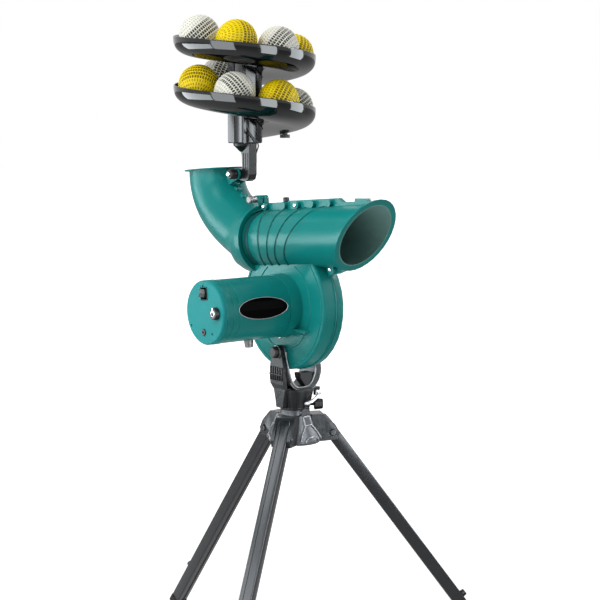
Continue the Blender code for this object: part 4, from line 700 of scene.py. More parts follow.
def add_piece(
    name: str,
    surface: Surface,
    coat: Coat,
    body: str,
    slot: str,
    stands_for: tuple[str, ...] = (),
    bevel: float = 0.0,
    sharp: float = 35.0,
    attributes: dict[str, Array] | None = None,
) -> bpy.types.Object:
    """Makes a piece of the visible machine from a surface in the row frame.

    Args:
        name: the piece's name.
        surface: its shape, in the row frame.
        coat: its finish.
        body: the CAD body that it moves with.
        slot: the record's material slot that it belongs to; not used.
        stands_for: the CAD nodes that it replaces.
        bevel: the width of its rounded edges, or 0.
        sharp: edges sharper than this many degrees stay crisp.
        attributes: numbers at its points, by name.

    Returns:
        The object.
    """
    data = bpy.data.meshes.new(name)
    data.from_pydata(surface.points, [], surface.faces)
    for key, values in (attributes or {}).items():
        data.attributes.new(key, "FLOAT", "POINT").data.foreach_set("value", values.astype(np.float32))
    tidy(data)
    return finish_piece(name, data, coat, body, stands_for, bevel, sharp)


def finish_piece(
    name: str,
    data: bpy.types.Mesh,
    coat: Coat,
    body: str,
    stands_for: tuple[str, ...],
    bevel: float,
    sharp: float,
) -> bpy.types.Object:
    """Shades, rounds, paints and attaches a piece whose mesh is ready. The arguments are add_piece's."""
    data.shade_smooth()
    data.set_sharp_from_angle(angle=np.radians(sharp))
    data.materials.clear()
    data.materials.append(coat.value.material())
    made = linked(name, data)
    if bevel:
        rounding = made.modifiers.new("rounded edges", "BEVEL")
        rounding.width = bevel
        rounding.segments = 2
        rounding.limit_method = "ANGLE"
        rounding.angle_limit = np.radians(sharp)
        rounding.harden_normals = True
    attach(made, body)
    if stands_for:
        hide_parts(*stands_for)
    log.info("piece %s on %s, for %s", name, body, ", ".join(stands_for) or "nothing else")
    return made


def slot_of(node: str) -> str:
    """The material slot that the record gives a CAD node."""
    return next(row["material_slot"] for row in frame["record"]["subparts"] if row["node"] == node)


def refine(node: str, name: str, bevel: float = 0.0006, coat: Coat | None = None, sharp: float = 35.0) -> None:
    """Replaces a CAD node by a copy with merged points, smooth round faces and rounded edges."""
    source = frame["nodes"][node]
    data = source.data.copy()
    tidy(data, recalculate=False, flat=True)
    slot = slot_of(node)
    finish_piece(name, data, coat or SLOT_COATS[slot], source["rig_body"], (node,), bevel, sharp)


class Assembly:
    """What sub-assemblies share: their axes, and the body and material slot of their new pieces."""

    axes: Placing
    body: str
    slot: str

    def piece(self, name: str, surface: Surface, coat: Coat, **options: Any) -> None:
        """Adds a piece given in these axes. Options are add_piece's, with body or slot when they differ."""
        add_piece(name, surface.placed(self.axes), coat, **{"body": self.body, "slot": self.slot} | options)


# Camera and studio


@dataclass(frozen=True)
class Lamp:
    """A soft lamp: its place round the machine in degrees and metres, its size, and its power in watts."""

    name: str
    azimuth: float
    elevation: float
    distance: float
    width: float
    height: float
    power: float


@dataclass(frozen=True)
class Card:
    """An upright glowing card that only gloss sees: its azimuth in degrees, width, heights and strength."""

    name: str
    azimuth: float
    width: float
    low: float
    high: float
    strength: float


@dataclass(frozen=True)
class Studio:
    """The photograph's camera, a pale floor, soft lamps, and pale cards that only gloss sees."""

    camera_place: Point = (-1.5983, -2.1431, 1.2580)
    right: Point = (0.78261, -0.62251, 0.0)
    up: Point = (0.07586, 0.09538, 0.99255)
    back: Point = (-0.61787, -0.77678, 0.12187)
    lens: float = 90.0
    sensor: float = 36.0
    clip: tuple[float, float] = (0.05, 100.0)
    floor_half: float = 30.0
    floor_drop: float = 0.0004
    floor_shade: tuple[float, ...] = (0.86, 0.86, 0.86, 1.0)
    floor_fade: tuple[float, float] = (0.8, 3.2)
    glow_near: float = 0.42
    world_light: float = 0.42
    middle: Point = (-0.02, -0.10, 1.05)
    lamps: tuple[Lamp, ...] = (
        Lamp("key_lamp", 186.0, 42.0, 3.0, 1.4, 1.2, 40.0),
        Lamp("left_lamp", 160.0, 16.0, 2.8, 1.6, 1.6, 22.0),
        Lamp("right_lamp", 335.0, 24.0, 2.6, 1.0, 1.6, 12.0),
        Lamp("top_lamp", 90.0, 80.0, 2.6, 1.6, 1.6, 9.0),
    )
    cards: tuple[Card, ...] = (
        Card("left_card", 144.0, 1.65, 0.62, 1.22, 8.5),
        Card("left_dim_card", 195.0, 0.95, 0.60, 1.7, 6.5),
        Card("front_card", 271.0, 0.70, 0.50, 1.7, 10.0),
        Card("right_card", 327.0, 0.72, 0.62, 1.7, 8.5),
        Card("streak_card", 325.0, 0.40, 2.02, 2.30, 60.0),
    )
    card_distance: float = 1.4
    card_colour: tuple[float, ...] = (0.90, 0.96, 1.0, 1.0)
    overhead: tuple[tuple[float, float], tuple[float, float]] = ((-2.0, -0.45), (-1.0, 0.25))
    overhead_height: float = 2.6
    overhead_strength: float = 7.0

    def build(self) -> None:
        """Makes all of it."""
        self.camera()
        self.floor()
        self.world()
        for lamp in self.lamps:
            self.lamp(lamp)
        for card in self.cards:
            self.card(card)
        corners = np.column_stack([rectangle(*self.overhead), np.full(4, self.overhead_height)])
        self.glow("overhead_card", corners, self.overhead_strength)

    def camera(self) -> None:
        """The camera of the photograph."""
        data = bpy.data.cameras.new("photograph_camera")
        data.lens = self.lens
        data.sensor_width = self.sensor
        data.clip_start, data.clip_end = self.clip
        made = linked("photograph_camera", data)
        made.matrix_world = facing(self.right, self.up, self.back, self.camera_place)
        bpy.context.scene.camera = made
        bpy.context.scene.view_settings.view_transform = "Standard"

    def floor(self) -> None:
        """A pale floor. To the camera it glows a little, so that it runs into the white behind it."""
        half = self.floor_half
        sheet = Sheet("pale_floor")
        seen = sheet.node("ShaderNodeLightPath", output="Is Camera Ray")
        reach = sheet.vector_math("LENGTH", sheet.place(), None, "Value")
        strength = reach.above(*self.floor_fade) * (1.0 - self.glow_near) + self.glow_near
        glow = sheet.node("ShaderNodeEmission", None, {"Color": WHITE, "Strength": strength})
        plain = sheet.node("ShaderNodeBsdfDiffuse", None, {"Color": self.floor_shade})
        both = sheet.node("ShaderNodeAddShader", None, {0: plain, 1: glow})
        mixed = sheet.node("ShaderNodeMixShader", None, {0: seen, 1: plain, 2: both})
        sheet.feed(sheet.tree.nodes["Material Output"].inputs["Surface"], mixed)
        corners = np.column_stack([rectangle((-half, -half), (half, half)), np.zeros(4)])
        stage_quad("studio_floor", corners, sheet).location.z = -self.floor_drop

    def world(self) -> None:
        """White to the camera and to gloss, and a softer white for the light that falls on the machine."""
        world = bpy.data.worlds.new("studio_world")
        bpy.context.scene.world = world
        world.use_nodes = True
        nodes = Nodes(world.node_tree)
        rays = ("Is Camera Ray", "Is Glossy Ray", "Is Transmission Ray")
        camera, gloss, glass = (nodes.node("ShaderNodeLightPath", output=ray) for ray in rays)
        soft = nodes.tree.nodes["Background"]
        nodes.feed(soft.inputs["Color"], WHITE)
        nodes.feed(soft.inputs["Strength"], self.world_light)
        white = nodes.node("ShaderNodeBackground", None, {"Color": WHITE, "Strength": 1.0})
        parts = {0: camera.larger(gloss.larger(glass)), 1: Signal(nodes, soft.outputs[0]), 2: white}
        mixed = nodes.node("ShaderNodeMixShader", None, parts)
        nodes.feed(nodes.tree.nodes["World Output"].inputs["Surface"], mixed)

    def lamp(self, lamp: Lamp) -> None:
        """Makes a lamp that gloss doesn't see, because the cards stand for it there."""
        data = bpy.data.lights.new(lamp.name, "AREA")
        data.shape = "RECTANGLE"
        data.size, data.size_y = lamp.width, lamp.height
        data.energy = lamp.power
        a, e = np.radians([lamp.azimuth, lamp.elevation])
        away = np.array([np.cos(a) * np.cos(e), np.sin(a) * np.cos(e), np.sin(e)])
        side = np.cross([0.0, 0.0, 1.0], away)
        side /= np.linalg.norm(side)
        made = linked(lamp.name, data)
        place = np.array(self.middle) + away * lamp.distance
        made.matrix_world = facing(side, np.cross(away, side), away, place)
        made.visible_camera = False
        made.visible_glossy = False

    def card(self, card: Card) -> None:
        """Makes a card that faces the machine's middle."""
        a = np.radians(card.azimuth)
        foot = np.array(self.middle[:2]) + np.array([np.cos(a), np.sin(a)]) * self.card_distance
        side = np.array([-np.sin(a), np.cos(a)]) * card.width / 2
        plan = np.stack([foot - side, foot + side, foot + side, foot - side])
        corners = np.column_stack([plan, [card.low, card.low, card.high, card.high]])
        self.glow(card.name, corners, card.strength)

    def glow(self, name: str, corners: Array, strength: float) -> None:
        """A glowing quad that only gloss sees."""
        sheet = Sheet(name + "_glow")
        sheet.set(Base_Color=(0, 0, 0, 1), Emission_Color=self.card_colour, Emission_Strength=strength)
        made = stage_quad(name, corners, sheet)
        made.visible_camera = False
        made.visible_diffuse = False
        made.visible_shadow = False
        made.visible_transmission = False


def facing(x: Array | Point, y: Array | Point, z: Array | Point, place: Array | Point) -> Matrix:
    """The matrix of an object with these axes at this place."""
    columns = np.eye(4)
    columns[:3] = np.column_stack([x, y, z, place])
    return Matrix(columns.tolist())


def stage_quad(name: str, corners: Array, sheet: Sheet) -> bpy.types.Object:
    """A four-cornered piece of the studio."""
    data = bpy.data.meshes.new(name)
    data.from_pydata(corners, [], [[0, 1, 2, 3]])
    data.materials.append(sheet.material)
    made = linked(name, data)
    return made


# The machine's frames and shared sizes


@dataclass(frozen=True)
class Frames:
    """Where each sub-assembly's own axes are at rest."""

    wheel: Placing = Placing((-0.01161, -0.13451, 0.93701), (-5.0, 0.0, 0.0))
    pivot: Point = (-0.01161, 0.01812, 1.15554)
    column_setback: float = 0.0101
    pan: tuple[float, float] = (-0.01161, -0.13448)
    tilt_height: float = 0.85701

    def feeder(self) -> Placing:
        """The feeder's pivot."""
        return Placing(self.pivot)

    def column(self) -> Placing:
        """The middle of the feeder's column, at the pivot's height."""
        x, y, z = self.pivot
        return Placing((x, y - self.column_setback, z))

    def yoke(self) -> Placing:
        """The tilt axis, on the pan axis."""
        return Placing((*self.pan, self.tilt_height))


FRAMES = Frames()
LEG_AZIMUTHS = (-27.7, -147.7, -267.7)


# Feeder


@dataclass(frozen=True)
class Ball:
    """One ball: its CAD node, and how its seam lies to the camera in degrees."""

    node: str
    seam_angle: float
    seam_offset: float
    spin: float


@dataclass
class DimpledBalls:
    """The practice balls, with rows of four-sided dimples and a raised seam."""

    radius: float = 0.036
    rows: int = 145
    columns: int = 288
    band: float = 11.25
    deep_reach: float = 22.5
    cells_at_seam: int = 48
    deep_depth: float = 0.0012
    plain_depth: float = 0.0006
    ridge_height: float = 0.0004
    ridge_half_width: float = 1.3
    body: str = "feeder"
    balls: tuple[Ball, ...] = (
        Ball("ball_upper_1", 42.0, 6.0, 10.0),
        Ball("ball_upper_2", 82.0, 44.0, 40.0),
        Ball("ball_upper_3", 52.0, -4.0, 75.0),
        Ball("ball_upper_4", 60.0, 30.0, 20.0),
        Ball("ball_lower_1", 70.0, 0.0, 5.0),
        Ball("ball_lower_2", -6.0, -34.0, 33.0),
        Ball("ball_lower_3", -52.0, -14.0, 60.0),
        Ball("ball_lower_4", 64.0, 4.0, 15.0),
        Ball("ball_lower_5", 35.0, 12.0, 50.0),
    )

    def relief(self, latitude: Array, longitude: Array, strong: bool) -> tuple[Array, Array]:
        """The skin's height and how deep each point is in a dimple.

        Latitude bands of equal width hold cells of about equal length. In a cell, the recess is the product
        of two smooth boxes, one along and one across. Bands near the seam are deeper, and ridges part them.

        Args:
            latitude: degrees from the seam.
            longitude: degrees along the seam.
            strong: true for a white ball, whose seam dimples get the darkest painted shade.

        Returns:
            The height in metres, and the recess from 0 to 1, which sets the painted shade in the dimples.
        """
        row = np.floor(latitude / self.band)
        across = latitude / self.band - row
        centre = np.radians((row + 0.5) * self.band)
        count = np.maximum(np.round(self.cells_at_seam * np.cos(centre)), 4)
        along = (longitude / 360.0 * count + 0.37 * row) % 1.0
        near = np.abs(latitude) < self.deep_reach
        box_along = smooth_box(along, np.where(near, 0.16, 0.25), 0.14)
        box_across = smooth_box(across, np.where(near, 0.13, 0.22), 0.10)
        inside = box_along * box_across * (np.abs(latitude) < 84.0)
        ridge = np.exp(-((np.abs((np.abs(latitude) + 1.0) % self.band - 1.0) / self.ridge_half_width) ** 2))
        ridge = ridge * (np.abs(latitude) < self.deep_reach + 1.0)
        depth = np.where(near, self.deep_depth, self.plain_depth)
        height = ridge * self.ridge_height - inside * depth
        # How strong the painted shade in the dimples is away from the seam.
        faint = 0.42 if strong else 0.62
        return height, inside * np.where(near, 1.0 if strong else 0.9, faint)

    def surface(self, strong: bool) -> tuple[Surface, Array]:
        """A ball about the origin with its seam on the XY plane, and its recess at each point."""
        latitude = np.linspace(-90.0, 90.0, self.rows)[:, None]
        longitude = np.linspace(0.0, 360.0, self.columns, endpoint=False)[None, :]
        latitude, longitude = np.broadcast_arrays(latitude, longitude)
        height, recess = self.relief(latitude, longitude, strong)
        size = self.radius + height - self.ridge_height
        a, b = np.radians(latitude), np.radians(longitude)
        outward = np.stack([np.cos(a) * np.cos(b), np.cos(a) * np.sin(b), np.sin(a)], axis=-1)
        return grid(outward * size[..., None]), recess.reshape(-1)

    def seam_axes(self, ball: Ball, studio: Studio) -> Array:
        """Rotation that lays a ball's seam on the view as its angle and offset say."""
        right, up, back = (np.array(v) for v in (studio.right, studio.up, studio.back))
        a, b, spin = np.radians([ball.seam_angle, ball.seam_offset, ball.spin])
        across = -np.sin(a) * right + np.cos(a) * up
        pole = np.cos(b) * across + np.sin(b) * back
        first = np.cos(a) * right + np.sin(a) * up
        second = np.cross(pole, first)
        turned = np.cos(spin) * first + np.sin(spin) * second
        return np.stack([turned, np.cross(pole, turned), pole], axis=1)

    def build(self, studio: Studio) -> None:
        """Makes every ball in place of its CAD node."""
        for ball in self.balls:
            slot = slot_of(ball.node)
            surface, recess = self.surface(slot == "ball_white")
            low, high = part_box(ball.node)
            middle = tuple((low + high) / 2)
            turned = surface.turned(self.seam_axes(ball, studio)).moved(middle)
            add_piece(
                "dimpled_" + ball.node,
                turned,
                SLOT_COATS[slot],
                self.body,
                slot,
                (ball.node,),
                sharp=60.0,
                attributes={"recess": recess},
            )


def smooth_box(share: Array, margin: Array | float, blur: float) -> Array:
    """1 in the middle of a cell and 0 within a margin of its ends, with smooth steps of the given width."""
    inside = np.clip((np.minimum(share, 1 - share) - margin) / blur + 0.5, 0.0, 1.0)
    return inside * inside * (3 - 2 * inside)


@dataclass
class SpiralTrays(Assembly):
    """The two polished trays that wind round the column."""

    radius: float = 0.1256
    depth: float = 0.0350
    floor_radius: float = 0.0826
    roundness: float = 2.9
    wall: float = 0.0025
    inner_radius: float = 0.0318
    step: float = 2.0
    axes: Placing = FRAMES.column()
    body: str = "feeder"
    slot: str = "tray_black"

    def section(self) -> Array:
        """The closed section as (radius, height).

        The outer wall is a superellipse: ((r - floor) / reach)^2 + (h / depth)^n = 1. The inner wall is the
        outer one moved by the wall's thickness along its normal, and a half circle joins them at the rim.
        """
        t = np.sin(np.linspace(0.0, np.pi / 2, 26))
        bulge = np.sqrt(np.maximum(1 - t**self.roundness, 0))
        radius = self.floor_radius + (self.radius - self.floor_radius) * bulge
        outer = np.stack([radius, -self.depth * t], axis=-1)
        outer = np.vstack([outer, [self.inner_radius, -self.depth]])
        along = directions(outer)
        inner = outer + np.stack([along[:, 1], -along[:, 0]], axis=-1) * self.wall
        inner[-1] = (self.inner_radius, -self.depth + self.wall)
        angle = np.linspace(0.0, np.pi, 7)[1:-1]
        lip = circle_section(angle) * self.wall / 2 + np.array([self.radius - self.wall / 2, 0.0])
        return np.vstack([outer[::-1], lip, inner])

    def tray(self, name: str, node: str, start: float, end: float, rim: float, pitch: float) -> None:
        """Winds the section from one angle to another, sinking by pitch a turn, and closes both ends."""
        turn = np.linspace(start, end, round((end - start) / self.step) + 1)
        radius, height = self.section().T[:, None]
        angle = np.radians(turn)[:, None]
        sink = (rim - pitch * (turn - start) / 360.0)[:, None]
        rings = np.stack([radius * np.cos(angle), radius * np.sin(angle), height + sink], axis=-1)
        self.piece(name, capped(rings), Coat.TRAY, stands_for=(node,), sharp=40.0)

    def build(self) -> None:
        """Makes both trays."""
        self.tray("upper_tray", "upper_ramp", 110.0, 400.0, 0.2477, 0.0700)
        self.tray("lower_tray", "lower_ramp", 400.7, 780.0, 0.1811, 0.0856)


@dataclass
class FeederPost(Assembly):
    """The square column, the hooked arm below it, its pivot screw, its lead and the release."""

    arm_width: float = 0.0170
    column_bottom: float = 0.0544
    column_side: float = 0.0450
    cable_radius: float = 0.0012
    boss_reach: float = 0.0285
    boss_radius: float = 0.0088
    rib_reach: float = 0.0009
    rib_places: tuple[float, ...] = (-0.0290, -0.0226, -0.0162)
    fin_places: tuple[float, ...] = (-0.0175, -0.0215, -0.0255)
    fin_half: float = 0.0010
    axes: Placing = FRAMES.feeder()
    body: str = "feeder"
    slot: str = "column_black"

    def cable(self) -> None:
        """The lead: out of the column's slot, across its front face and down to the arm."""
        front = -FRAMES.column_setback - self.column_side / 2 - self.cable_radius - 0.0008
        low = self.column_bottom
        corners = [
            (-0.0140, front + 0.0018, low + 0.0385),
            (-0.0135, front, low + 0.0320),
            (-0.0105, front - 0.0006, low + 0.0240),
            (-0.0035, front - 0.0008, low + 0.0130),
            (0.0070, front - 0.0006, low + 0.0030),
            (0.0112, front + 0.0002, low - 0.0040),
            (0.0108, front + 0.0022, low - 0.0100),
            (0.0103, front + 0.0058, low - 0.0180),
        ]
        path = self.axes.world(smooth_line(corners, 5))
        surface = along_path(path, self.cable_radius, (0.0, 1.0, 0.15), 16)
        lead = add_piece("feeder_lead", surface, Coat.CABLE, self.body, "cable_black", ("feeder_cable",))

    def arm_ribs(self) -> None:
        """Upright ribs on both cheeks of the arm."""
        half, thick = self.arm_width / 2, self.rib_reach
        ribs = []
        for side in (-1.0, 1.0):
            low, high = sorted((side * half, side * (half + thick)))
            for place in self.rib_places:
                ribs.append(block((low, place - thick, 0.006), (high, place + thick, 0.0370)))
        self.piece("arm_ribs", joined(ribs), Coat.ARM, bevel=0.0004)

    def pivot_head(self) -> None:
        """The bright domed head on the pivot screw, and the fins round its black sleeve."""
        end = -self.boss_reach
        dome = [(end - 0.0046, 0.0), (end - 0.0044, 0.0026), (end - 0.0030, 0.0046)]
        dome += [(end + 0.0004, 0.0050), (end + 0.0004, 0.0)]
        self.piece("pivot_screw_head", revolved(dome, 40, 0.0006), Coat.CHROME, body="head", slot="bright_steel")
        half, radius = self.fin_half, self.boss_radius + 0.0006
        fins = joined(disc(place - half, place + half, radius, 48, 0.0003) for place in self.fin_places)
        self.piece("pivot_sleeve_fins", fins, Coat.BLACK, body="head", slot="fixing_black")

    def build(self) -> None:
        """Makes the pieces and refines the CAD nodes that keep their shape."""
        self.cable()
        refine("feeder_column", "column_extrusion", 0.0005)
        refine("feeder_arm", "hooked_arm", 0.0011, Coat.ARM)
        self.arm_ribs()
        refine("pivot_screw", "pivot_sleeve", 0.0005)
        self.pivot_head()
        refine("release_solenoid", "release_can", 0.0004, Coat.BLACK)
        refine("release_plunger", "release_pin", 0.0005, Coat.BLACK)


# Elbow


@dataclass
class Elbow(Assembly):
    """The elbow that the balls fall into: a bent tube with a lip, a belled collar, ears and a clamp."""

    radius: float = 0.0502
    bore: float = 0.0470
    lip: tuple[float, float] = (0.2085, 0.2450)
    lip_pull: tuple[float, float] = (0.218, 0.172)
    collar_pull: tuple[float, float] = (0.142, 0.137)
    tube_height: float = 0.1125
    bell_radius: float = 0.060
    bell_face: float = 0.073
    bell_length: float = 0.036
    lip_overhang: float = 0.0090
    lip_thickness: float = 0.0024
    arm_width: float = 0.0170
    pivot: tuple[float, float] = (0.133, 0.2310)
    ear_radius: float = 0.0100
    ear_thickness: float = 0.0046
    clamp_height: float = 0.0710
    clamp_half: float = 0.0120
    axes: Placing = FRAMES.wheel
    body: str = "head"
    slot: str = "teal_shell"

    def centre_line(self, share: Array) -> Array:
        """Points of a cubic curve: (1-s)^3 lip + 3(1-s)^2 s pull + 3(1-s) s^2 pull + s^3 collar."""
        collar = (self.bell_face + self.bell_length * 0.55, self.tube_height)
        s = share[:, None]
        back = 1 - s
        weights = (back**3, 3 * back**2 * s, 3 * back * s**2, s**3)
        corners = (self.lip, self.lip_pull, self.collar_pull, collar)
        plane = sum(weight * np.array(corner) for weight, corner in zip(weights, corners))
        return np.column_stack([np.zeros(len(share)), plane])

    def wall(self) -> Surface:
        """The tube: its outside from the lip to the bell's face, then its bore back up, closed.

        A ring is centre + r (cos t X + sin t n), with n at right angles to the centre line. Near the lip, n
        turns level, so that the tube ends square to the lip.
        """
        path = self.centre_line(np.linspace(0.0, 1.0, 56))
        tail = np.linspace(self.bell_face + 0.016, self.bell_face, 8)
        path = np.vstack([path, np.column_stack([0 * tail, tail, 0 * tail + self.tube_height])])
        tangent = directions(path)
        share = np.clip(np.linspace(0.0, len(path) / 14.0, len(path)), 0.0, 1.0)[:, None]
        tangent = (1 - share) * np.array([0.0, 0.0, -1.0]) + share * tangent
        tangent /= np.linalg.norm(tangent, axis=1, keepdims=True)
        normal = np.cross(tangent, [1.0, 0.0, 0.0])
        flare = np.clip((self.bell_face + 0.050 - path[:, 1]) / 0.043, 0.0, 1.0)
        flare = flare * flare * (3 - 2 * flare) * (np.arange(len(path)) > 30)
        outer = self.radius + (self.bell_radius - self.radius) * flare
        angle = np.linspace(0.0, 2 * np.pi, 96, endpoint=False)[None, :, None]
        ring = np.cos(angle) * np.array([1.0, 0.0, 0.0]) + np.sin(angle) * normal[:, None]
        outside = path[:, None] + outer[:, None, None] * ring
        inside = (path[:, None] + self.bore * ring)[::-1]
        inside[0] = path[-1] + (self.bell_radius - 0.0035) * ring[-1]
        inside[1:4] = path[::-1][1:4, None] + (self.bore + 0.0036) * ring[::-1][1:4]
        return grid(np.concatenate([outside, inside]), wrap_rows=True)

    def lip_ring(self) -> Surface:
        """The flat lip: a ring with rounded edges round the inlet."""
        low, high = -self.lip_thickness, 0.0
        outer = self.radius + self.lip_overhang
        profile = [(low, self.bore), (low, outer), (high, outer), (high, self.bore), (low, self.bore)]
        ring = revolved(profile, 128, 0.0007)
        return ring.upright().moved((0.0, *self.lip))

    def ear(self, side: float) -> Surface:
        """One lug beside the feeder's arm: a round nose on a web that runs down the tube's front wall."""
        across, up = self.pivot
        wall = self.lip[0] - self.radius + 0.012
        inside = self.arm_width / 2 + 0.0003
        nose = circle_section(np.linspace(np.pi / 2, 1.5 * np.pi, 15)) * self.ear_radius + [across, up]
        web = np.array([(wall, up - 0.024), (wall + 0.006, up - 0.010), (wall, up + 0.008)])
        low, high = sorted((side * inside, side * (inside + self.ear_thickness)))
        return slab(np.vstack([nose, web]), low, high)

    def clamp(self) -> Surface:
        """The two clamp lugs on the collar, with the slit between them."""
        middle = self.bell_face + 0.0066
        top = self.tube_height + self.clamp_height + 0.0070
        low = self.tube_height + self.bell_radius - 0.008
        outline = [(middle - 0.0066, low), (middle + 0.0080, low), (middle + 0.0080, top - 0.004)]
        outline += [(middle + 0.004, top), (middle - 0.003, top), (middle - 0.0066, top - 0.004)]
        sides = (sorted((side * 0.0012, side * self.clamp_half)) for side in (-1.0, 1.0))
        return joined(slab(np.array(outline), near, far) for near, far in sides)

    def seam(self) -> Surface:
        """A low rib along the elbow's front seam with three small lugs on it, and one clip at the back."""
        path = self.centre_line(np.linspace(0.10, 0.78, 30))
        tangent = directions(path)
        normal = np.cross(tangent, [1.0, 0.0, 0.0])
        front = path + normal * (self.radius - 0.0002) * np.sign(-normal[:, 1:2])
        rib = along_path(front, 0.0016, (1.0, 0.0, 0.0), 12)
        lug = disc(-0.0075, 0.0075, 0.0048, 28, 0.0008)
        lugs = [lug.moved((0.0, *front[number, 1:])) for number in (8, 14, 21)]
        clip = path[20] + normal[20] * (self.radius + 0.001) * np.sign(normal[20, 1])
        return joined([rib, *lugs, disc(-0.0040, 0.0040, 0.0038, 24, 0.0006).moved(tuple(clip))])

    def build(self) -> None:
        """Makes the elbow in place of its CAD node."""
        self.piece("elbow_tube", self.wall(), Coat.TEAL, stands_for=("feed_elbow",), sharp=50.0)
        self.piece("elbow_lip", self.lip_ring(), Coat.TEAL)
        for side, name in ((-1.0, "left"), (1.0, "right")):
            self.piece(f"elbow_ear_{name}", self.ear(side), Coat.TEAL, bevel=0.0008)
        self.piece("elbow_clamp_lugs", self.clamp(), Coat.TEAL, bevel=0.0008)
        self.piece("elbow_seam", self.seam(), Coat.TEAL)
        refine("elbow_clamp_screw", "clamp_screw", 0.0004, Coat.DULL)


# Head


@dataclass
class Head(Assembly):
    """Launch tube, wheel housing and motor barrel."""

    tube_height: float = 0.1125
    tube_radius: float = 0.0510
    rib_height: float = 0.0014
    ribs: tuple[Point, ...] = (
        (0.0474, 0.028, 0.0180),
        (0.0150, 0.275, 0.0115),
        (-0.0186, 0.538, 0.0031),
        (-0.0563, 0.779, -0.0051),
    )
    barrel_radius: float = 0.053
    barrel_wall: float = 0.0035
    barrel_start: float = 0.0503
    barrel_end: float = 0.1803
    badge_middle: float = 0.108
    badge_half: tuple[float, float] = (0.0500, 0.0178)
    badge_height: float = 0.0020
    badge_skin: float = 0.0545
    cap_face: float = 0.1891
    dial: tuple[float, float] = (-0.0338, -0.0010)
    switch: tuple[float, float] = (-0.001, 0.0315)
    switch_half: tuple[float, float] = (0.0083, 0.0098)
    web_places: tuple[float, ...] = (0.052, 0.034, 0.012, -0.012, -0.038)
    web_half: float = 0.0012
    screw_places: tuple[Point, ...] = (
        (-0.0112, 0.0580, 0.1700),
        (-0.0112, -0.0300, 0.1690),
        (-0.0112, 0.0300, 0.0560),
        (-0.0112, -0.1140, 0.0585),
        (-0.0330, 0.0030, -0.0540),
    )
    axes: Placing = FRAMES.wheel
    body: str = "head"
    slot: str = "teal_shell"

    def rib(self, place: float, rake: float, bow: float) -> Surface:
        """A bead round the tube. At height h over its axis it lies at place - rake h - bow (1 - (h / R)^2)."""
        t = np.linspace(0.0, 2 * np.pi, 120, endpoint=False)
        height = self.tube_radius * np.sin(t)
        along = place - rake * height - bow * (1 - (height / self.tube_radius) ** 2)
        small = np.linspace(0.0, 2 * np.pi, 10, endpoint=False)[None, :]
        radius = self.tube_radius - 0.0002 + self.rib_height * np.cos(small) * 1.1
        y = along[:, None] + 0.0016 * np.sin(small)
        x, z = radius * np.cos(t)[:, None], radius * np.sin(t)[:, None] + self.tube_height
        return grid(np.stack([x, np.broadcast_to(y, x.shape), z], axis=-1), wrap_rows=True)

    def ribs_and_webs(self) -> None:
        """The raked ribs, the webs that carry them over to the housing, and a dark line of painted shadow beside
        each rib.
        """
        half = self.web_half
        webs = []
        for place in self.web_places:
            for side in (-1.0, 1.0):
                low, high = sorted((side * 0.0030, side * 0.0130))
                webs.append(block((low, place - half, 0.0440), (high, place + half, 0.0640)))
        ribs = [self.rib(*rib) for rib in self.ribs]
        self.piece("tube_ribs", joined(ribs + webs), Coat.TEAL, sharp=50.0)
        # Painted shadow: a dark ring just beside each rib.
        lines = [self.rib(place - 0.0019, rake, bow) for place, rake, bow in self.ribs]
        for line in lines:
            away = (line.points - [0.0, 0.0, self.tube_height]) * [1.0, 0.0, 1.0]
            reach = np.linalg.norm(away, axis=1, keepdims=True)
            line.points -= away / reach * (reach - self.tube_radius + 0.0002) * 0.75
        self.piece("tube_rib_painted_shadows", joined(lines), Coat.TEAL_PAINTED_SHADE, sharp=50.0)

    def neck_shadow(self) -> None:
        """Painted shadow: a dark band, turned about Y, where the recess between the elbow's bell and the tube's
        shoulder lies in shade.
        """
        low, high = 0.0590, 0.0705
        profile = [(low, 0.0495), (low, 0.0505), (high, 0.0505), (high, 0.0495), (low, 0.0495)]
        swing = np.array([[0.0, -1.0, 0.0], [1.0, 0.0, 0.0], [0.0, 0.0, 1.0]])
        band = revolved(profile, 96).turned(swing).moved((0.0, 0.0, self.tube_height))
        self.piece("neck_painted_shadow", band, Coat.TEAL_PAINTED_SHADE)

    def seam_beads(self) -> None:
        """Beads round the housing: one on its rim over the parting line, and one near its left face's edge.

        Each is a round bar along an arc (y, z) = r (cos t, sin t) that stops short of the tube, with a thin dark
        bar of painted shadow beside it.
        """
        rows = (
            ("rim_bead", 0.0, 0.1112, 32.0, 0.0014),
            ("face_bead", -0.0266, 0.1030, 40.0, 0.0011),
            ("plate_bead", -0.0266, 0.0750, 60.0, 0.0012),
        )
        for name, across, radius, stop, thick in rows:
            t = np.radians(np.linspace(-180.0 - stop, stop, 150))
            path = np.column_stack([np.full(len(t), across), radius * np.cos(t), radius * np.sin(t)])
            bead = along_path(path, thick, (1.0, 0.0, 0.0), 12)
            self.piece(name, bead, Coat.TEAL)
            # Painted shadow: a thin dark bar beside the bead.
            groove = along_path(path + np.array([0.0024, 0.0, 0.0]), thick * 0.55, (1.0, 0.0, 0.0), 8)
            self.piece(name + "_corner", groove, Coat.TEAL_PAINTED_SHADE)

    def screws(self) -> None:
        """Bright screw heads on the seam's lugs and on the motor boss, each with a black hexagon of painted shade
        for its hex socket.
        """
        head = [(-0.0030, 0.0), (-0.0030, 0.0024), (-0.0016, 0.0034), (0.0006, 0.0034), (0.0006, 0.0)]
        heads, sockets = revolved(head, 28, 0.0004), disc(-0.0031, -0.0028, 0.0013, 6)
        heads = joined(heads.moved(place) for place in self.screw_places)
        sockets = joined(sockets.moved(place) for place in self.screw_places)
        self.piece("shell_screw_heads", heads, Coat.CHROME, slot="bright_steel")
        # Painted shade: flat black hexagons for the shaded hex sockets.
        self.piece("shell_screw_socket_painted_shade", sockets, Coat.BLACK, slot="fixing_black")

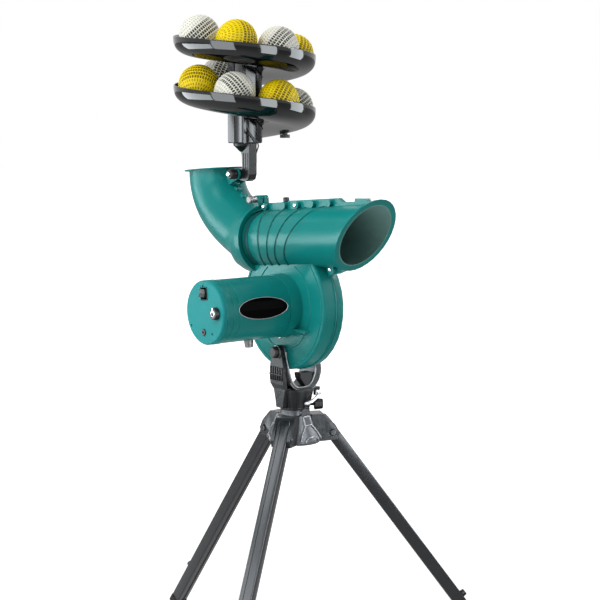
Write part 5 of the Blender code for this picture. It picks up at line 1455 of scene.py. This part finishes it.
    def barrel(self) -> None:
        """The motor barrel: a tube with a bead and two fine grooves near its cap."""
        r, inner = self.barrel_radius, self.barrel_radius - self.barrel_wall
        end, start = -self.barrel_end, -self.barrel_start
        profile = [
            (start, inner),
            (start, r),
            (end + 0.0262, r),
            (end + 0.0256, r - 0.0007),
            (end + 0.0250, r),
            (end + 0.0136, r),
            (end + 0.0126, r - 0.0010),
            (end + 0.0116, r + 0.0006),
            (end + 0.0006, r + 0.0006),
            (end, r - 0.0002),
            (end, inner),
            (start, inner),
        ]
        tube = revolved(profile, 128, 0.0003)
        self.piece("barrel_tube", tube, Coat.TEAL, stands_for=("motor_barrel",), sharp=30.0)

    def badge_rim(self) -> None:
        """The silver edge of the plain oval badge: an ellipse laid on the barrel's curve."""
        t = np.linspace(0.0, 2 * np.pi, 121)
        half_length, half_height = self.badge_half
        x = -self.badge_middle + half_length * np.cos(t)
        z = self.badge_height + half_height * np.sin(t)
        y = -np.sqrt(self.badge_skin**2 - z**2)
        path = np.stack([x, y, z], axis=-1)
        rings = along_path(path, 0.00055, (0.0, -1.0, 0.0), 10)
        self.piece("badge_rim", rings, Coat.FORK_EDGE, slot="bright_steel")

    def controls(self) -> None:
        """The dial's bright centre, its cover and its pointer, and the switch's bezel, on the end cap."""
        dial = (-self.cap_face, *self.dial)
        on_dial = {"body": "speed_knob", "slot": "bright_steel"}
        centre = [(-0.0088, 0.0), (-0.0088, 0.0046), (-0.0078, 0.0056), (-0.0070, 0.0056), (-0.0070, 0.0)]
        self.piece("knob_centre", revolved(centre, 40, 0.0004).moved(dial), Coat.STEEL, **on_dial)
        cover = disc(-0.0091, -0.0086, 0.0036, 32, 0.0002).moved(dial)
        self.piece("knob_cover", cover, Coat.BLACK, body="speed_knob", slot="black_plastic")
        pointer = block((-0.0086, -0.0007, 0.0060), (-0.0060, 0.0007, 0.0098)).moved(dial)
        self.piece("knob_pointer", pointer, Coat.CHROME, bevel=0.0002, **on_dial)
        inner = rectangle((-self.switch_half[0], -self.switch_half[1]), self.switch_half)
        loops = [(0.0006, inner * 1.12), (-0.0012, inner * 1.12), (-0.0012, inner), (0.0006, inner)]
        rings = np.stack([np.column_stack([np.full(4, x), loop + self.switch]) for x, loop in loops])
        bezel = grid(rings, wrap_rows=True).moved((-self.cap_face, 0.0, 0.0))
        self.piece("switch_bezel", bezel, Coat.BLACK, slot="black_plastic", bevel=0.0004)

    def build(self) -> None:
        """Makes the head's pieces and refines the nodes that keep their shape."""
        refine("shell_left", "left_shell", 0.0008, Coat.TEAL_BORED, 30.0)
        refine("shell_right", "right_shell", 0.0008, Coat.TEAL_BORED, 30.0)
        self.ribs_and_webs()
        self.neck_shadow()
        self.seam_beads()
        self.screws()
        self.barrel()
        refine("end_cap", "barrel_cap", 0.0006)
        refine("badge_plate", "oval_badge", 0.0)
        self.badge_rim()
        self.controls()
        refine("seam_bolt", "seam_bolt_head", 0.0006)
        refine("barrel_stud", "barrel_stop_stud", 0.0006, Coat.DULL)
        refine("feeder_jack", "feeder_socket", 0.0003, Coat.BLACK)
        refine("power_switch", "rocker_switch", 0.0004)
        refine("speed_knob", "speed_dial", 0.0005)
        refine("pressure_pad", "bore_pad", 0.0006)
        refine("wheel_tyre", "drive_tyre", 0.0006)
        refine("wheel_hub", "drive_wheel", 0.0005)
        refine("drive_shaft", "motor_shaft", 0.0004)
        refine("motor_can", "motor_body", 0.001)


# Yoke and tripod


@dataclass
class Yoke(Assembly):
    """What turns on the hub: socket, fork, ribbed cheek, bolts, lever and knob."""

    bracket_inside: float = 0.0285
    sheet: float = 0.0032
    depth: float = 0.044
    top_radius: float = 0.012
    floor: float = -0.0634
    flange: float = 0.0085
    axes: Placing = FRAMES.yoke()
    body: str = "yoke"
    slot: str = "yoke_steel"

    def bolt_faces(self) -> None:
        """A dull washer at each tilt bolt."""
        washers = []
        for side, start in ((-1.0, 0.0405), (1.0, 0.0320)):
            washers.append(disc(start, start + 0.0010, 0.0118, 48, 0.0003))
            washers[-1].points[:, 0] *= side
        self.piece("tilt_bolt_washers", joined(washers), Coat.DULL, slot="bright_steel")

    def half_depth(self, height: Array) -> Array:
        """Half the fork's depth at a height: a round top, then a smooth widening down to the shoulder."""
        share = np.clip((-0.004 - height) / 0.032, 0.0, 1.0)
        wide = self.top_radius + (self.depth / 2 - self.top_radius) * share * share * (3 - 2 * share)
        round_top = np.sqrt(np.maximum(self.top_radius**2 - np.maximum(height, 0.0) ** 2, 1e-7))
        return np.where(height > 0.0, round_top, wide)

    def middle_line(self) -> Array:
        """The fork's sheet seen from the front, as (x, z) from the top of the left arm to that of the right."""
        half = self.bracket_inside + self.sheet / 2
        left = [(-half, self.top_radius), (-half, 0.006), (-half, -0.006), (-half, -0.020)]
        left += [(-half + 0.0002, -0.033), (-half + 0.0036, -0.0455), (-half + 0.0096, -0.0560)]
        left += [(-half + 0.0180, -0.0622), (0.0, self.floor)]
        return smooth_line(left + [(-x, z) for x, z in left[-2::-1]], 6)

    def fork(self) -> None:
        """The pressed fork: a ring is the middle line +- half the sheet along its normal, at +- half depth."""
        line = self.middle_line()
        along = directions(line)
        outward = np.stack([along[:, 1], -along[:, 0]], axis=-1)
        depth = self.half_depth(line[:, 1])
        rings = []
        for shift, side in ((-1, -1), (1, -1), (1, 1), (-1, 1)):
            flat = line + outward * shift * self.sheet / 2
            rings.append(np.column_stack([flat[:, 0], side * depth, flat[:, 1]]))
        sheet = capped(np.stack(rings, axis=1))
        self.piece("fork_sheet", sheet, Coat.FORK, stands_for=("yoke_bracket",), bevel=0.0006)
        self.fork_flange(line, outward)
        self.fork_beads(line, outward, depth)

    def flange_reach(self, line: Array) -> Array:
        """How far the front flange stands out: most on the right arm, and little under the fork."""
        right = np.clip((line[:, 0] + 0.004) / 0.030, 0.0, 1.0)
        top = np.clip((-0.010 - line[:, 1]) / 0.030, 0.0, 1.0)
        return 0.0012 + self.flange * right * np.sin(top * np.pi / 2)

    def fork_flange(self, line: Array, outward: Array) -> None:
        """The band round the fork's front edge: middle line + normal x reach, up to the right arm."""
        keep = (line[:, 1] < -0.010) & (line[:, 0] > -0.024)
        line, outward = line[keep], outward[keep]
        reach = self.sheet / 2 + self.flange_reach(line)[:, None]
        front = -self.depth / 2
        inner, outer = line - outward * self.sheet / 2, line + outward * reach
        near, far = front - 0.0002, front + 0.0028
        loops = [(inner, near), (outer, near), (outer, far), (inner, far)]
        rings = [np.column_stack([flat[:, 0], np.full(len(flat), y), flat[:, 1]]) for flat, y in loops]
        self.piece("fork_flange", capped(np.stack(rings, axis=1)), Coat.BRACKET, bevel=0.0005)

    def fork_beads(self, line: Array, outward: Array, depth: Array) -> None:
        """Pale beads along the inner and outer edges of the fork's front: painted highlights where the edges catch
        the light.
        """
        low = line[:, 1] < 0.002
        inner = line[low] - outward[low] * (self.sheet / 2 - 0.0004)
        path = np.column_stack([inner[:, 0], -depth[low] + 0.0004, inner[:, 1]])
        beads = [along_path(path, 0.0013, (0.0, 1.0, 0.0), 10)]
        keep = (line[:, 1] < -0.012) & (line[:, 0] > -0.024)
        reach = self.sheet / 2 - 0.0004 + self.flange_reach(line[keep])[:, None]
        outer = line[keep] + outward[keep] * reach
        path = np.column_stack([outer[:, 0], np.full(len(outer), -self.depth / 2 + 0.0010), outer[:, 1]])
        beads.append(along_path(path, 0.0013, (0.0, 1.0, 0.0), 10))
        # Painted highlight along the fork's edges.
        self.piece("fork_edge_painted_highlights", joined(beads), Coat.FORK_EDGE)

    def socket_details(self) -> None:
        """Fins round the socket, its two collars, and the tongue that carries the cheek down its side."""
        top, foot = -0.0690, -0.0990
        outline = [(0.0, foot), (0.0262, foot), (0.0300, -0.080), (0.0328, top), (0.0, top)]
        fin = slab(np.array(outline), -0.0011, 0.0011, 1)
        turns = (Placing((0, 0, 0), (0.0, 0.0, angle)) for angle in np.arange(0.0, 360.0, 30.0))
        made = [fin.placed(turn) for turn in turns]
        for level, radius in ((-0.0668, 0.0331), (-0.0990, 0.0256)):
            made.append(disc(level - 0.0010, level + 0.0010, radius, 64, 0.0005).upright())
        self.piece("socket_fins", joined(made), Coat.YOKE, slot="yoke_black", bevel=0.0004)
        right = [(-0.0178, -0.0630), (-0.0140, -0.0760), (-0.0112, -0.0880), (-0.0100, -0.0975)]
        tongue = slab(np.array(right + [(-y, z) for y, z in right[::-1]]), -0.0345, -0.0200)
        self.piece("cheek_tongue", tongue, Coat.YOKE, slot="yoke_black", bevel=0.0016)

    def build(self) -> None:
        """Refines the yoke's nodes and adds its small pieces."""
        refine("yoke_socket", "socket_moulding", 0.0010)
        self.fork()
        refine("yoke_cheek_left", "ribbed_cheek", 0.0004)
        refine("tilt_stop_block", "stop_block", 0.0008)
        refine("tilt_bolt_left", "left_tilt_bolt", 0.0006, Coat.BLACK)
        refine("tilt_bolt_right", "right_tilt_bolt", 0.0006)
        refine("swivel_lever", "clamp_lever", 0.0004)
        refine("pan_lock_knob", "lock_knob", 0.0016)
        self.bolt_faces()
        self.socket_details()


@dataclass
class Hub(Assembly):
    """The cast hub that the legs fold on."""

    top: float = 0.74701
    face_azimuths: tuple[float, ...] = (-87.7, -207.7, 32.3)
    axes: Placing = Placing((0.0, 0.0, 0.0))
    body: str = "base"
    slot: str = "hub_grey"

    def skin(self, across: Array, height: Array, proud: float) -> Array:
        """Points on a face of the casting: outward = sqrt(r(z)^2 - across^2) + proud, r from its profile."""
        radius = np.interp(-height, (0.0015, 0.012, 0.040, 0.046), (0.029, 0.033, 0.047, 0.047))
        return np.column_stack([np.sqrt(radius**2 - across**2) + proud, across, height])

    def face_details(self) -> tuple[Surface, Surface]:
        """On one face: a black square block, painted shade for a square recess, and ridges painted pale as
        highlights that frame it and run to the corners.
        """
        across = np.array([-0.0062, 0.0062])
        edge = [(0.0072, -0.0034), (0.0074, -0.0164), (0.0120, -0.0240), (0.0185, -0.0330), (0.0230, -0.0420)]
        rings = []
        for height in (-0.0042, -0.0158):
            front = self.skin(across, np.full(2, height), 0.0018)
            rings.append(np.vstack([front, front[::-1] - np.array([0.004, 0.0, 0.0])]))
        lines = (
            [(-0.0070, -0.0034), (0.0070, -0.0034)],
            [(-y, z) for y, z in edge],
            edge,
            [(-0.0074, -0.0166), (0.0, -0.0172), (0.0074, -0.0166)],
            [(-0.0150, -0.0440), (-0.0110, -0.0385), (0.0, -0.0365), (0.0110, -0.0385), (0.0150, -0.0440)],
        )
        ridges = []
        for corners in lines:
            line = smooth_line(corners, 8)
            skin = self.skin(line[:, 0], line[:, 1], 0.0008)
            ridges.append(along_path(skin, 0.0018, (1.0, 0.0, 0.3), 10))
        return capped(np.stack(rings)), joined(ridges)

    def build(self) -> None:
        """Refines the casting and its brackets, and adds the raised details."""
        refine("hub_casting", "hub_body", 0.0012, sharp=30.0)
        for number in (1, 2, 3):
            refine(f"leg_bracket_{number}", f"leg_clevis_{number}", 0.0008, Coat.BRACKET)
        refine("centre_post", "pan_post", 0.0006)
        details = self.face_details()
        places = [Placing((*FRAMES.pan, self.top), (0.0, 0.0, azimuth)) for azimuth in self.face_azimuths]
        pockets, ridges = (joined(detail.placed(place) for place in places) for detail in details)
        # Painted shade in the square pocket, and painted highlights on the ridges.
        self.piece("hub_pocket_painted_shade", pockets, Coat.BLACK)
        self.piece("hub_ridge_highlights", ridges, Coat.HUB_RIDGE)


@dataclass
class Leg:
    """One leg: a grooved upper tube, a collar, a round lower tube, a clamp knob and a foot."""

    number: int
    azimuth: float
    splay: float = 36.36
    pivot_radius: float = 0.064
    pivot_height: float = 0.71301
    half_depth: float = 0.01075
    half_width: float = 0.01125
    corner: float = 0.0024
    groove_half: float = 0.0034
    groove_depth: float = 0.0013
    head: float = 0.029
    upper_length: float = 0.488
    lower_radius: float = 0.00895
    length: float = 0.868
    overlap: float = 0.130
    foot_radius: float = 0.0185
    foot_height: float = 0.036

    def place(self) -> Placing:
        """The leg's frame: its Z axis runs up the leg and its X axis outward."""
        a = np.radians(self.azimuth)
        x = FRAMES.pan[0] + self.pivot_radius * np.cos(a)
        y = FRAMES.pan[1] + self.pivot_radius * np.sin(a)
        return Placing((float(x), float(y), self.pivot_height), (0.0, -self.splay, self.azimuth))

    def section(self) -> Array:
        """A rounded rectangle with a shallow channel along the middle of its inner and outer faces."""
        d, w, c, g, s = self.half_depth, self.half_width, self.corner, self.groove_half, self.groove_depth
        arc = circle_section(np.linspace(0.0, np.pi / 2, 5)) * c
        corner = arc + np.array([d - c, w - c])
        channel = np.array([(d, g + 0.0006), (d - s, g), (d - s, 0.0)])
        quarter = np.vstack([channel[::-1], corner])
        half = np.vstack([quarter, (quarter * np.array([-1.0, 1.0]))[::-1]])
        return np.vstack([half, (half * np.array([-1.0, -1.0]))[1:-1]])

    def upper(self) -> Surface:
        """The grooved tube, drawn along the leg, with its head rounded off by a falling width."""
        section = self.section()
        end, head = -self.upper_length, self.head
        heights = np.array([end, end + 0.001, 0.0, head * 0.6, head * 0.9, head])
        share = np.array([0.97, 1.0, 1.0, 1.0, 0.97, 0.90])
        rings = np.empty((len(heights), len(section), 3))
        rings[:, :, :2] = section[None] * share[:, None, None]
        rings[:, :, 2] = heights[:, None]
        return capped(rings)

    def lower(self) -> Surface:
        """The round lower tube, with a groove over the foot."""
        r = self.lower_radius
        top, bottom = -(self.upper_length - self.overlap), -self.length
        profile = [(bottom, 0.0), (bottom, r)]
        profile += [(bottom + 0.034, r), (bottom + 0.0345, r - 0.0004)]
        profile += [(bottom + 0.0355, r - 0.0004), (bottom + 0.036, r), (top, r), (top, 0.0)]
        return revolved(profile, 48, 0.0002).upright()

    def collar(self) -> Surface:
        """The plastic collar at the upper tube's mouth."""
        section = self.section() * 1.07
        outer = section[np.argsort(np.arctan2(section[:, 1], section[:, 0]))]
        hole = circle_section(np.arctan2(outer[:, 1], outer[:, 0])) * (self.lower_radius + 0.0004)
        low, high = -self.upper_length - 0.0008, -self.upper_length + 0.014
        loops = ((low, hole), (low, outer), (high, outer), (high, hole))
        rings = np.stack([np.column_stack([loop, np.full(len(outer), z)]) for z, loop in loops])
        return grid(rings, wrap_rows=True)

    def foot(self) -> Surface:
        """The rubber foot: a cup with three tread rings and a chamfered sole."""
        r, h = self.foot_radius, self.foot_height
        profile = [(0.0, 0.0), (0.0, r - 0.0012), (0.0014, r)]
        for level in (0.26, 0.40, 0.54):
            profile += [(h * level - 0.0012, r), (h * level, r - 0.0010), (h * level + 0.0012, r)]
        profile += [(h * 0.74, r * 0.96), (h * 0.92, r * 0.82), (h, r * 0.66), (h, 0.0)]
        return revolved(profile, 64, 0.0003).upright()

    def build(self) -> None:
        """Makes the leg's pieces."""
        place, n = self.place(), self.number
        upper, lower = f"upper_leg_{n}", f"lower_leg_{n}"
        tube, collar = self.upper().placed(place), self.collar().placed(place)
        add_piece(f"leg_tube_upper_{n}", tube, Coat.LEG, upper, "leg_grey", (upper,), sharp=25.0)
        add_piece(f"leg_collar_{n}", collar, Coat.BLACK, upper, "black_plastic", bevel=0.0006)
        tube = self.lower().placed(place)
        add_piece(f"leg_tube_lower_{n}", tube, Coat.TUBE, lower, "leg_tube", (lower,))
        refine(f"leg_lock_{n}", f"leg_clamp_knob_{n}", 0.0007)
        low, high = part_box(f"foot_{n}")
        middle = (low + high) / 2
        foot = self.foot().moved((middle.x, middle.y, low.z))
        add_piece(f"rubber_foot_{n}", foot, Coat.RUBBER, lower, "foot_rubber", (f"foot_{n}",))


def main() -> None:
    """Builds the studio and every sub-assembly, in order."""
    logging.basicConfig(level=logging.INFO, format="%(name)s: %(message)s")
    studio = Studio()
    studio.build()
    FeederPost().build()
    SpiralTrays().build()
    DimpledBalls().build(studio)
    Elbow().build()
    Head().build()
    Yoke().build()
    Hub().build()
    for number, azimuth in enumerate(LEG_AZIMUTHS, start=1):
        Leg(number, azimuth).build()


if __name__ == "__main__":
    main()
